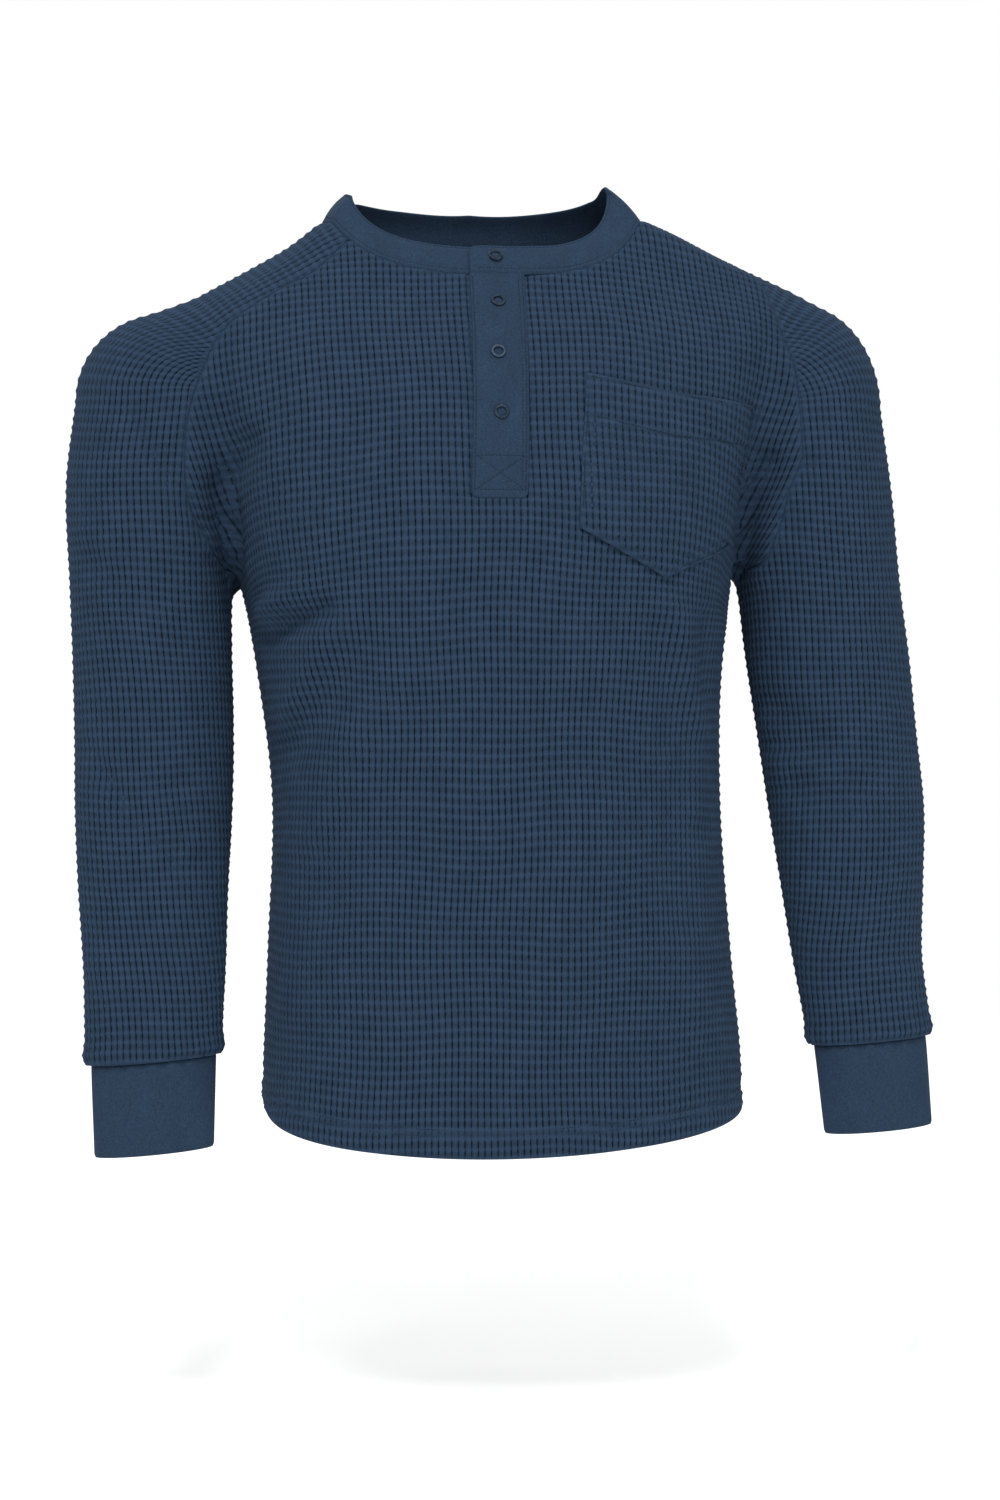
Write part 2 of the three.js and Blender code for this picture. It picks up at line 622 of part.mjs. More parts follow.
// Sleeve: rings up to the arm's pit, then rows from the front seam over the shoulder to the back seam
function sleeveSheet(table, side, crotch, front, back, neckFrom, neckTo) {
  const sheet = new Sheet();
  const ids = [];
  const out = new THREE.Vector3();
  const ahead = new THREE.Vector3(0, -1, 0);
  for (let i = 0; i < SLEEVE_ROWS; i += 1) {
    const z = mix(SLEEVE_END, crotch.z, i / SLEEVE_ROWS);
    const at = new THREE.Vector3(curve(table, 'z', 'x', z), curve(table, 'z', 'y', z), z);
    const row = [];
    for (let j = 0; j < SLEEVE_COLUMNS; j += 1) {
      const angle = Math.PI * (1 - (2 * j) / SLEEVE_COLUMNS);
      row.push(sheet.add(cast(at, new THREE.Vector3(side * Math.cos(angle), -Math.sin(angle), 0))));
    }
    row.push(row[0]);
    ids.push(row);
  }
  for (let i = 0; i <= ROWS_ABOVE_ARM; i += 1) {
    const { at, tilt } = armMiddle(table, side, i / ROWS_ABOVE_ARM, crotch.z);
    out.set(side * Math.cos(tilt), 0, Math.sin(tilt));
    const onward = new THREE.Vector3(-side * Math.sin(tilt), 0, Math.cos(tilt));
    const measure = (p) => {
      const d = p.clone().sub(at).normalize();
      const turn = Math.atan2(d.dot(ahead), d.dot(out));
      return { turn, lift: Math.asin(clamp(d.dot(onward), -1, 1)) };
    };
    const from = measure(front[i]);
    const to = measure(back[i]);
    if (i === 0) from.turn = Math.PI;
    if (i === 0) to.turn = -Math.PI;
    const row = [];
    for (let j = 0; j <= SLEEVE_COLUMNS; j += 1) {
      const s = j / SLEEVE_COLUMNS;
      const turn = mix(from.turn, to.turn, s);
      const lift = from.lift * ease(1 - 2 * s) + to.lift * ease(2 * s - 1);
      const along = out.clone().multiplyScalar(Math.cos(turn) * Math.cos(lift))
        .addScaledVector(ahead, Math.sin(turn) * Math.cos(lift)).addScaledVector(onward, Math.sin(lift));
      if (j === 0) row.push(sheet.add(front[i]));
      else if (j === SLEEVE_COLUMNS) row.push(i === 0 ? row[0] : sheet.add(back[i]));
      else if (i === ROWS_ABOVE_ARM) row.push(sheet.add(neckBase(mix(neckFrom, neckTo, s))));
      else row.push(sheet.add(cast(at, along)));
    }
    ids.push(row);
  }
  sheet.grid(ids);
  return sheet;
}

// The cuff: a flattened tube that goes on from the sleeve's end
function cuffSheet(table) {
  const sheet = new Sheet();
  const ids = [];
  for (let i = 0; i <= CUFF_ROWS; i += 1) {
    const rise = i / CUFF_ROWS;
    const z = mix(CUFF_END, SLEEVE_END, rise);
    const x = curve(table, 'z', 'x', z);
    const y = curve(table, 'z', 'y', z);
    const half = curve(table, 'z', 'half', z) - mix(CUFF_INSET.lowHalf, CUFF_INSET.highHalf, rise);
    const deep = curve(table, 'z', 'deep', z) - mix(CUFF_INSET.lowDeep, CUFF_INSET.highDeep, rise);
    const row = [];
    for (let j = 0; j < CUFF_COLUMNS; j += 1) {
      const angle = (-2 * Math.PI * j) / CUFF_COLUMNS;
      const place = new THREE.Vector3(x + half * Math.cos(angle), y + deep * Math.sin(angle), z);
      const normal = new THREE.Vector3(Math.cos(angle) / half, Math.sin(angle) / deep, 0).normalize();
      sheet.points.push({ place, normal });
      row.push(sheet.points.length - 1);
    }
    row.push(row[0]);
    ids.push(row);
  }
  sheet.grid(ids);
  return sheet;
}

const frontSheet = panelSheet(
  -1, [...seamRight, ...armholes.rightFront], [...seamLeft, ...armholes.leftFront],
  NECK_RIGHT_FRONT, NECK_LEFT_FRONT,
);
const backSheet = panelSheet(
  1, [...seamLeft, ...armholes.leftBack], [...seamRight, ...armholes.rightBack],
  NECK_LEFT_BACK, NECK_RIGHT_BACK,
);
const sleeveRightSheet = sleeveSheet(
  ARM_RIGHT, -1, crotchRight, armholes.rightFront, armholes.rightBack, NECK_RIGHT_FRONT, NECK_RIGHT_BACK,
);
const sleeveLeftSheet = sleeveSheet(
  ARM_LEFT, 1, crotchLeft, armholes.leftFront, armholes.leftBack, NECK_LEFT_FRONT - 1, NECK_LEFT_BACK,
);

// The placket's slot in the front, the strip under it and the strip over it
function placketOutline(inset, top) {
  const { topLeft, topRight, bottomLeft, bottomRight, bottom } = PLACKET;
  const rise = (top - PLACKET.bottom) / (PLACKET.top - PLACKET.bottom);
  return [
    [bottomLeft + inset, bottom + inset], [bottomRight - inset, bottom + inset],
    [mix(bottomRight, topRight, rise) - inset, top], [mix(bottomLeft, topLeft, rise) + inset, top],
  ];
}
const slot = frontBlock(placketOutline(SLOT_INSET, ABOVE_NECK));
const underBlock = frontBlock(placketOutline(SLOT_INSET + SEAM_GAP, ABOVE_NECK));
const overBlock = frontBlock(placketOutline(0, ABOVE_NECK));
const pocketBlock = frontBlock(POCKET);
const frontWhole = toSolid(wall(frontSheet, 0, -BODY_CLOTH));
const overLayer = toSolid(wall(frontSheet, LAYER_GAP + JERSEY_CLOTH, LAYER_GAP));
const pocketLayer = toSolid(wall(frontSheet, LAYER_GAP + POCKET_CLOTH, LAYER_GAP));
const front = frontWhole.subtract(slot);
const placketUnder = frontWhole.intersect(underBlock);
const placketOver = overLayer.intersect(overBlock);
const pocket = pocketLayer.intersect(pocketBlock);

// A size that changes smoothly between its four values round the neck
function roundNeck(size, angle) {
  const ahead = Math.sin(angle);
  const across = Math.cos(angle);
  return (ahead < 0 ? size.front : size.back) * ahead ** 2 + (across < 0 ? size.right : size.left) * across ** 2;
}

// The collar band: its foot stands on the neckline and its top leans in
function bandSheet() {
  const sheet = new Sheet();
  const rows = [0, 0.5, 1];
  const start = frontTurn(PLACKET.topLeft);
  const end = frontTurn(PLACKET.topLeft + BAND_UNDER_END + (PLACKET.topRight - PLACKET.topLeft)) + 1;
  const pastOver = frontTurn(PLACKET.topRight + BAND_OVER_PAST);
  const fadeOver = frontTurn(PLACKET.topRight + BAND_OVER_FADE);
  const ids = rows.map(() => []);
  for (let j = 0; j <= BAND_STEPS; j += 1) {
    const turns = mix(start, end, j / BAND_STEPS);
    const foot = neckBase(turns);
    const angle = turns * 2 * Math.PI;
    const rise = roundNeck(BAND_RISE, angle);
    const lean = roundNeck(BAND_LEAN, angle);
    const next = neckBase(turns + NECK_SLOPE_TURNS);
    const along = next.clone().sub(neckBase(turns - NECK_SLOPE_TURNS)).setZ(0).normalize();
    const out = new THREE.Vector3(along.y, -along.x, 0);
    const over = BAND_OVER * (1 - ease((turns - pastOver) / (fadeOver - pastOver)));
    const normal = new THREE.Vector3().addScaledVector(out, rise).add(new THREE.Vector3(0, 0, lean)).normalize();
    rows.forEach((up, i) => {
      const place = foot.clone().addScaledVector(out, -lean * up);
      place.z += rise * up + BAND_LIFT;
      place.addScaledVector(normal, over + BAND_BULGE * Math.sin(Math.PI * up));
      sheet.points.push({ place, normal });
      ids[i].push(sheet.points.length - 1);
    });
  }
  sheet.grid(ids);
  return sheet;
}

// The turn round the neck, at the front, that lies at a given distance across
function frontTurn(x) {
  let [low, high] = FRONT_TURNS;
  for (let i = 0; i < TURN_HALVINGS; i += 1) {
    const middle = (low + high) / 2;
    if (neckBase(middle).x < x) low = middle;
    else high = middle;
  }
  return (low + high) / 2;
}

function snapRing() {
  const { outer, inner, height, soft, sides } = SNAP;
  const profile = [
    [inner, 0], [outer, 0], [outer, height - soft], [outer - soft, height], [inner + soft, height],
    [inner, height - soft], [inner, 0],
  ].map(([r, y]) => new THREE.Vector2(r, y));
  const geometry = new THREE.LatheGeometry(profile, sides);
  geometry.rotateX(Math.PI / 2);
  return geometry;
}

const material = (color, roughness, metalness) => new THREE.MeshStandardMaterial({
  color: new THREE.Color(color), roughness, metalness,
});
const waffleBody = material('#29364a', 0.95, 0);
const waffleSleeve = material('#2a384c', 0.95, 0);
const jerseyCuff = material('#2e3d50', 0.9, 0);
const jerseyBand = material('#34455a', 0.9, 0);
const jerseyPlacket = material('#36475c', 0.9, 0);
const snapMetal = material('#2b3850', 0.35, 0.8);
const garment = new THREE.Group();

function put(name, geometry, look) {
  const mesh = new THREE.Mesh(geometry, look);
  mesh.name = name;
  garment.add(mesh);
  return mesh;
}

put('front', toGeometry(front), waffleBody);
put('back', wall(backSheet, 0, -BODY_CLOTH), waffleBody);
put('sleeve_right', wall(sleeveRightSheet, 0, -BODY_CLOTH), waffleSleeve);
put('sleeve_left', wall(sleeveLeftSheet, 0, -BODY_CLOTH), waffleSleeve);
put('cuff_right', wall(cuffSheet(ARM_RIGHT), 0, -CUFF_CLOTH), jerseyCuff);
put('cuff_left', wall(cuffSheet(ARM_LEFT), 0, -CUFF_CLOTH), jerseyCuff);
put('collar_band', wall(bandSheet(), 0, -BAND_CLOTH), jerseyBand);
put('placket_under', toGeometry(placketUnder), jerseyBand);
put('placket_over', toGeometry(placketOver), jerseyPlacket);
put('pocket', toGeometry(pocket), waffleBody);

// Each snap lies on the placket or the band where the cloth faces
garment.updateMatrixWorld(true);
const placketMeshes = ['collar_band', 'placket_over'].map((name) => garment.getObjectByName(name));
placketMeshes.forEach((mesh) => mesh.geometry.computeVertexNormals());
SNAP_PLACES.forEach(([x, z], i) => {
  const sight = new THREE.Raycaster(new THREE.Vector3(x, IN_FRONT, z), new THREE.Vector3(0, 1, 0));
  const [hit] = sight.intersectObjects(placketMeshes);
  const ring = put(`snap_${i + 1}`, snapRing(), snapMetal);
  ring.quaternion.setFromUnitVectors(new THREE.Vector3(0, 0, 1), hit.face.normal);
  ring.position.copy(hit.point).addScaledVector(hit.face.normal, LAYER_GAP);
});

export default garment;
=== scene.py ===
# A long-sleeved waffle-knit thermal top, navy, filled out as on a wearer: its cloth, stitches and snaps.
import math
import bpy
import numpy as np
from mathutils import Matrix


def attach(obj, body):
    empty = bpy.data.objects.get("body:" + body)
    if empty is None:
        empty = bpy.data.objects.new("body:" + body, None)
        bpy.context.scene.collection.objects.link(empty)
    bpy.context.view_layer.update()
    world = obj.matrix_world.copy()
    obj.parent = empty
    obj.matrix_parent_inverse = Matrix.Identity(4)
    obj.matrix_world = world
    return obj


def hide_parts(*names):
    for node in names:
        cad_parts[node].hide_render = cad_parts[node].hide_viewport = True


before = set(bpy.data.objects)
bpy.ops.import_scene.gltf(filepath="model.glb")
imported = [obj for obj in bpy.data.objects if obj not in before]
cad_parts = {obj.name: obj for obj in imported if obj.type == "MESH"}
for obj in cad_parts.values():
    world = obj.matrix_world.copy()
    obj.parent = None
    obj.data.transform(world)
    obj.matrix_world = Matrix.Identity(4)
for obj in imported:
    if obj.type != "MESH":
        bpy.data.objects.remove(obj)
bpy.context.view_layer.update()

# Sizes are in millimetres until a mesh is made
MM = 0.001

# The torso's level sections
TORSO = {
    "z": [-730, -666, -560, -430, -340, -270, -200, -140, -90, -50, 0, 40],
    "middle": [19, 19, 16, 13, 8, 6, 3, 1, 0, 0, 0, 0],
    "half": [185.5, 185, 178, 172, 178.5, 188, 198, 215, 240, 262, 270, 270],
    "front": [116, 118, 120, 124, 127, 128, 124, 110, 88, 62, 36, 20],
    "back": [104, 105, 106, 108, 113, 119, 121, 117, 107, 93, 74, 60],
    "square": [2.35, 2.35, 2.35, 2.35, 2.4, 2.6, 2.8, 2.8, 2.7, 2.5, 2.4, 2.4],
}
# The shoulder's crest on the wearer's right and left
CREST_RIGHT = {
    "out": [0, 60, 119, 146, 176, 215, 251, 275, 300, 340],
    "z": [38, 30, 1, -20, -38, -60, -83, -104, -130, -175],
}
CREST_LEFT = {
    "out": [0, 60, 120, 147, 184, 230, 252, 268, 286, 300, 340],
    "z": [38, 32, 9, -2, -20, -40, -50, -61, -80, -98, -150],
}
CREST_Y = 8
CREST_RADIUS = 75
CREST_SLOPE = 0.85
# The arms' level sections
ARM_RIGHT = {
    "z": [-700, -620, -570, -510, -450, -390, -330, -280, -200, -140],
    "x": [-249, -249, -248, -249, -248.5, -248, -249.5, -251, -247, -239],
    "y": [-45, -29, -20, -10, -2, 3, 4, 4, 3, 2],
    "half": [46, 51, 53, 56, 59, 60, 60, 60.5, 67, 68],
    "deep": [25, 29, 32, 36, 40, 45, 50, 55, 63, 66],
}
ARM_LEFT = {
    "z": [-700, -620, -570, -510, -450, -390, -330, -280, -200, -140],
    "x": [304, 300, 294.5, 292.5, 290, 283.5, 276, 269.5, 259, 251],
    "y": [-45, -29, -20, -10, -2, 3, 4, 4, 3, 2],
    "half": [44, 48.5, 50.5, 56, 61.5, 63, 64.5, 64, 66, 65],
    "deep": [25, 29, 32, 36, 40, 45, 50, 55, 63, 66],
}
CAP_RIGHT = 66
CAP_LEFT = 84
ARM_BLEND = 20
CREST_BLEND = 34

# The largest folds: which face, how far out, half width, and the line seen from the front
FOLDS = [
    (-1, -7, 11, [(-183, -178), (-199, -211), (-190, -248), (-178, -285)]),
    (-1, -4, 9, [(-264, -157), (-240, -200), (-212, -237)]),
    (-1, -4, 8, [(-167, -318), (-129, -304)]),
    (-1, 3.5, 9, [(-174, -305), (-148, -285)]),
    (-1, 3, 10, [(-129, -316), (-155, -374)]),
    (-1, -3, 15, [(-86, -299), (-120, -350), (-146, -403)]),
    (-1, 2.5, 15, [(-68, -351), (-110, -397)]),
    (-1, -7, 11, [(215, -186), (203, -220), (191, -253), (188, -291)]),
    (-1, -4, 8, [(248, -187), (228, -231)]),
    (-1, -3.5, 9, [(214, -397), (258, -407)]),
    (-1, 3, 11, [(132, -299), (156, -383)]),
    (-1, -3.5, 7, [(160, -303), (162, -360)]),
    (-1, -3, 9, [(-288, -421), (-255, -463), (-236, -492)]),
    (-1, 2.5, 8, [(-252, -440), (-222, -475)]),
    (1, -6, 12, [(-188, -185), (-196, -225), (-186, -285)]),
    (1, -6, 12, [(205, -185), (202, -230), (192, -288)]),
    (1, -3, 14, [(-150, -300), (-105, -372)]),
    (1, 3, 15, [(-128, -285), (-80, -350)]),
    (1, -3, 14, [(158, -306), (118, -390)]),
    (1, 3, 14, [(132, -300), (92, -365)]),
    (1, -3, 10, [(-282, -402), (-222, -418)]),
    (1, -3, 10, [(252, -405), (318, -422)]),
    (1, -3, 9, [(-274, -452), (-226, -440)]),
    (1, -2.5, 16, [(-70, -120), (60, -128)]),
]

# Softer and narrower creases that only the cloth itself has, in the same columns
CREASES = [
    (-1, -2.6, 7, [(-205, -262), (-190, -284), (-183, -312)]),
    (-1, 2.2, 7, [(-180, -268), (-166, -290), (-170, -326)]),
    (-1, -4.5, 9, [(-172, -322), (-146, -309), (-128, -300)]),
    (-1, 3.0, 7, [(-182, -309), (-160, -294)]),
    (-1, 2.4, 8, [(-120, -318), (-138, -352), (-165, -392)]),
    (-1, -3.2, 14, [(-98, -330), (-118, -366), (-140, -396), (-160, -412)]),
    (-1, 2.0, 10, [(-96, -386), (-120, -430), (-134, -470)]),
    (-1, -2.0, 14, [(-68, -372), (-62, -398)]),
    (-1, -2.2, 16, [(-112, -452), (-130, -486), (-124, -520)]),
    (-1, 1.6, 13, [(-150, -470), (-160, -540), (-150, -600)]),
    (-1, -1.6, 15, [(-86, -540), (-104, -590), (-96, -640)]),
    (-1, 1.4, 14, [(20, -520), (60, -560), (70, -610)]),
    (-1, 2.4, 9, [(138, -306), (144, -350), (156, -392), (154, -450)]),
    (-1, -2.2, 10, [(118, -318), (126, -356), (128, -396)]),
    (-1, -1.8, 13, [(134, -430), (128, -480), (140, -530)]),
    (-1, 1.6, 12, [(160, -480), (150, -540), (158, -610)]),
    (-1, -1.4, 18, [(-10, -420), (24, -452), (16, -500)]),
    (-1, 1.5, 14, [(-44, -262), (-66, -290)]),
    (-1, -1.5, 12, [(-150, -212), (-112, -222), (-80, -240)]),
    (-1, -1.2, 9, [(-120, -80), (-104, -120), (-110, -160)]),
    (-1, 1.2, 9, [(62, -64), (96, -92), (110, -112)]),
    (-1, 2.6, 7, [(236, -208), (222, -246), (214, -272)]),
    (-1, -2.4, 7, [(203, -262), (196, -286)]),
    (-1, -1.8, 9, [(-298, -262), (-270, -286), (-244, -294)]),
    (-1, 1.5, 8, [(-300, -240), (-276, -262)]),
    (-1, -2.0, 8, [(-296, -404), (-276, -436), (-262, -470), (-252, -500)]),
    (-1, -2.4, 9, [(-268, -420), (-244, -434), (-222, -428)]),
    (-1, 2.0, 8, [(-244, -460), (-226, -482)]),
    (-1, -1.8, 9, [(-282, -520), (-262, -548), (-240, -556)]),
    (-1, 1.6, 9, [(-296, -560), (-272, -590), (-250, -604)]),
    (-1, -3.4, 11, [(228, -372), (246, -388), (262, -396)]),
    (-1, -3.0, 12, [(244, -430), (268, -446), (292, -438)]),
    (-1, 2.2, 10, [(238, -414), (262, -422), (286, -414)]),
    (-1, 2.4, 8, [(206, -328), (211, -366), (222, -400), (230, -427)]),
    (-1, -1.8, 9, [(262, -500), (290, -520), (322, -518)]),
    (-1, 1.6, 9, [(268, -556), (298, -578), (330, -576)]),
    (-1, -1.6, 8, [(300, -300), (318, -330), (322, -360)]),
    (1, -3.2, 9, [(-170, -318), (-140, -302)]),
    (1, 2.6, 9, [(-182, -296), (-156, -276)]),
    (1, -2.6, 13, [(-110, -352), (-134, -398), (-130, -440)]),
    (1, 2.0, 12, [(-90, -420), (-112, -470)]),
    (1, -2.8, 12, [(112, -332), (136, -372), (142, -420)]),
    (1, 2.4, 10, [(146, -330), (160, -384)]),
    (1, -1.8, 16, [(-40, -500), (10, -516), (56, -506)]),
    (1, 1.6, 15, [(-60, -548), (-10, -562), (40, -556)]),
    (1, -1.6, 14, [(-130, -580), (-110, -630)]),
    (1, 1.6, 13, [(120, -560), (136, -620)]),
    (1, -1.6, 18, [(-96, -190), (-30, -206), (30, -202)]),
    (1, -2.6, 8, [(-290, -430), (-258, -446), (-230, -438)]),
    (1, 2.0, 8, [(-288, -388), (-256, -400)]),
    (1, -2.6, 8, [(262, -436), (296, -452), (324, -446)]),
    (1, 2.0, 8, [(258, -398), (292, -410)]),
    (1, -1.8, 9, [(-284, -540), (-248, -556)]),
    (1, -1.8, 9, [(276, -540), (318, -560)]),
]

# Edges
HEM_SIDE = -668
HEM_DIP = {-1: 35, 1: 20}
SLEEVE_END = -631
CUFF_END = -698
# The sleeves' ends and the cuffs aren't level: they rise towards the wearer's left
END_TILT = {"from": -515, "over": 105, "slope": 0.08, "shift": 3.6}
NECK = {"x": 2, "y": 5, "half": 121, "front": 74, "back": 66, "square": 2.6}
# Armhole seams from under the arm to the neck: across and up
ARMHOLE_RIGHT_FRONT = [
    (-203, -255), (-211, -242), (-218, -230), (-223, -217), (-226, -199), (-226, -175), (-224, -157),
    (-221, -145), (-211, -115), (-204, -100), (-194, -88), (-174, -73), (-152, -58), (-134, -48),
]
ARMHOLE_LEFT_FRONT = [
    (219, -257), (223, -243), (227, -228), (230, -211), (234, -199), (240, -184), (240, -166), (238, -145),
    (234, -110), (228, -84), (220, -50), (205, -12), (182, 10), (150, 32),
]
ARMHOLE_RIGHT_BACK = [
    (-203, -255), (-211, -242), (-218, -230), (-223, -217), (-226, -199), (-226, -175), (-224, -157),
    (-220, -140), (-213, -121), (-203, -104), (-190, -89), (-172, -73), (-150, -56), (-130, -40),
]
ARMHOLE_LEFT_BACK = [
    (219, -257), (223, -243), (227, -228), (230, -211), (232, -199), (233, -184), (232, -166), (229, -145),
    (221, -118), (212, -100), (198, -88), (176, -74), (150, -56), (128, -42),
]
# Where the shoulder seams meet the neckline, as turns from the wearer's left by the back
NECK_RIGHT_FRONT = 0.592
NECK_LEFT_FRONT = 0.985
NECK_RIGHT_BACK = 0.415
NECK_LEFT_BACK = 0.088

# Placket and pocket outlines, seen from the front
PLACKET = {"top_left": -15, "top_right": 26, "bottom_left": -22, "bottom_right": 19, "top": -46, "bottom": -221}
SLOT_INSET = 4
POCKET = [
    (66, -126), (134, -139), (201, -143), (195, -179), (190, -208), (185, -250), (123, -277), (57, -242), (60, -188),
]

# The spine that points are cast out from
SPINE_Y = 5
SPINE_DROP = 62
FAN_UP = 62
SPINE_NARROW = 100
SPINE_AT_ARMS = 165
SPINE_WIDE = 250
SPREAD_FROM = -400
SPREAD_OVER = 120
HALF_WIDTH_BODY = 262
HALF_WIDTH_ARMS = 199
NARROW_FROM = -430
NARROW_OVER = 155
# The arm's middle line over the shoulder
BEND_RADIUS = 70
BEND_REACH = 65
BEND = {-1: math.radians(60), 1: math.radians(64)}
SADDLE_RUN = 112

# Cloth and knit
BODY_CLOTH = 1.8
JERSEY_CLOTH = 1.6
POCKET_CLOTH = 1.4
CUFF_CLOTH = 2.0
BAND_CLOTH = 2.2
LAYER_GAP = 0.35
WALE = 4.95
COURSE = 7.2
SLEEVE_WALE = 4.9
SLEEVE_COURSE = 7.0
STEPS_PER_WALE = 3
STEPS_PER_COURSE = 3
# Where a wale's points lie across it: the groove's two lips with its floor between them
ACROSS_WALE = (0.33, 0.5, 0.67)
PIT_DEPTH = 1.5
BAR_DEPTH = 0.85
BUMP_HEIGHT = 0.85
# The wales lie closer at the waist than on the chest
WALE_LOW = 0.965
WALE_HIGH = 1.04
WALE_CHANGE_FROM = -420
WALE_CHANGE_OVER = 250
# How far from a seam or a stitched line the relief comes back
QUIET_SEAM = 4.5
QUIET_STITCH = 2.6
COURSE_DROOP = 11
GROOVE_SLOPE = 5.6
BAR_SHARP = 1.6


def mix(a, b, t):
    return a + (b - a) * t


def ease(t):
    s = np.clip(t, 0, 1)
    return s * s * (3 - 2 * s)


class Curve:
    # A smooth curve through rising places, with the same slopes as the solid's own tables

    def __init__(self, xs, ys):
        self.x = np.asarray(xs, float)
        self.y = np.asarray(ys, float)
        steps = np.diff(self.x)
        slopes = (np.diff(self.y, axis=0).T / steps).T
        self.m = np.empty_like(self.y)
        self.m[0] = slopes[0]
        self.m[-1] = slopes[-1]
        before = steps[:-1]
        after = steps[1:]
        total = before + after
        self.m[1:-1] = ((slopes[1:].T * before + slopes[:-1].T * after) / total).T

    def __call__(self, at):
        at = np.clip(at, self.x[0], self.x[-1])
        i = np.clip(np.searchsorted(self.x, at, side="right") - 1, 0, len(self.x) - 2)
        h = self.x[i + 1] - self.x[i]
        s = (at - self.x[i]) / h
        if self.y.ndim > 1:
            h = h[..., None]
            s = s[..., None]
        return (self.y[i] * (1 + 2 * s) * (1 - s) ** 2 + self.m[i] * h * s * (1 - s) ** 2
                + self.y[i + 1] * s * s * (3 - 2 * s) - self.m[i + 1] * h * s * s * (1 - s))


def columns(table, key):
    return {name: Curve(table[key], values) for name, values in table.items() if name != key}


torso_at = columns(TORSO, "z")
crest_right = Curve(CREST_RIGHT["out"], CREST_RIGHT["z"])
crest_left = Curve(CREST_LEFT["out"], CREST_LEFT["z"])
arm_right_at = columns(ARM_RIGHT, "z")
arm_left_at = columns(ARM_LEFT, "z")


def smooth_min(a, b, k):
    h = np.maximum(k - np.abs(a - b), 0) / k
    return np.minimum(a, b) - h * h * k / 4


def smooth_max(a, b, k):
    return -smooth_min(-a, -b, k)


def crest(x):
    return np.where(x < 0, crest_right(-x), crest_left(x))


def torso_field(x, y, z):
    across = x - torso_at["middle"](z)
    deep = np.where(y < 0, torso_at["front"](z), torso_at["back"](z))
    square = torso_at["square"](z)
    reach = np.hypot(across, y) + 1e-6
    share = (np.abs(across) / torso_at["half"](z)) ** square + (np.abs(y) / deep) ** square
    rho = share ** (1 / square) + 1e-9
    top = (z - crest(x) + (y - CREST_Y) ** 2 / (2 * CREST_RADIUS)) * CREST_SLOPE
    return smooth_max(reach * (1 - 1 / rho), top, CREST_BLEND)


def arm_field(arm, cap, highest, x, y, z):
    level = np.minimum(z, highest)
    dx = x - arm["x"](level)
    dy = y - arm["y"](level)
    up = np.maximum(z - highest, 0)
    rho = np.sqrt((dx / arm["half"](level)) ** 2 + (dy / arm["deep"](level)) ** 2 + (up / cap) ** 2) + 1e-9
    return (np.sqrt(dx ** 2 + dy ** 2 + up ** 2) + 1e-6) * (1 - 1 / rho)


def field(p):
    # Below 0 inside the filled-out garment, above 0 outside
    x, y, z = p[..., 0], p[..., 1], p[..., 2]
    right = arm_field(arm_right_at, CAP_RIGHT, ARM_RIGHT["z"][-1], x, y, z)
    left = arm_field(arm_left_at, CAP_LEFT, ARM_LEFT["z"][-1], x, y, z)
    return smooth_min(smooth_min(torso_field(x, y, z), right, ARM_BLEND), left, ARM_BLEND)


def cast(start, along, reach=400.0):
    # The first place where each line from inside leaves the form, or the end of its reach
    start, along = np.broadcast_arrays(np.asarray(start, float), np.asarray(along, float))
    shape = start.shape
    start = start.reshape(-1, 3)
    along = along.reshape(-1, 3)
    reach = np.broadcast_to(reach, shape[:-1]).reshape(-1)
    step = 4.0
    low = np.zeros(len(start))
    high = np.minimum(step, reach)
    todo = np.arange(len(start))
    while len(todo):
        inside = field(start[todo] + along[todo] * high[todo, None]) < 0
        todo = todo[inside & (high[todo] < reach[todo])]
        low[todo] = high[todo]
        high[todo] = np.minimum(high[todo] + step, reach[todo])
    stuck = field(start + along * high[:, None]) < 0
    low[stuck] = high[stuck]
    for _ in range(12):
        middle = (low + high) / 2
        inside = field(start + along * middle[:, None]) < 0
        low = np.where(inside, middle, low)
        high = np.where(inside, high, middle)
    return (start + along * ((low + high) / 2)[:, None]).reshape(shape)


def unit(v):
    return v / (np.linalg.norm(v, axis=-1, keepdims=True) + 1e-12)


def outward(p):
    e = 0.6
    steps = np.eye(3) * e
    return unit(np.stack([field(p + step) - field(p - step) for step in steps], -1))


def distance_to_line(x, z, line):
    nearest = np.full(np.shape(x), np.inf)
    for (ax, az), (bx, bz) in zip(line, line[1:]):
        length2 = (bx - ax) ** 2 + (bz - az) ** 2
        t = np.clip(((x - ax) * (bx - ax) + (z - az) * (bz - az)) / length2, 0, 1)
        nearest = np.minimum(nearest, np.hypot(x - mix(ax, bx, t), z - mix(az, bz, t)))
    return nearest


def fold_push(p, normal):
    push = np.zeros(p.shape[:-1])
    for face, out, wide, line in FOLDS + CREASES:
        facing = ease((normal[..., 1] * face - 0.05) / 0.5)
        push += out * facing * np.exp(-(distance_to_line(p[..., 0], p[..., 2], line) / wide) ** 2)
    return push


def vector(x, y, z):
    return np.stack(np.broadcast_arrays(x, y, z), -1).astype(float)


def under_arm(side):
    # The highest point of the gap between the torso and an arm
    best = None
    for i in range(61):
        x = side * (175 + i)
        heights = np.arange(-330, -200, 0.5)
        inside = field(vector(x, SPINE_Y, heights)) < 0
        if inside[0]:
            continue
        z = heights[np.argmax(inside)] if inside.any() else -200
        if best is None or z > best[2]:
            best = np.array([x, SPINE_Y, z], float)
    return best


CROTCH = {-1: under_arm(-1), 1: under_arm(1)}


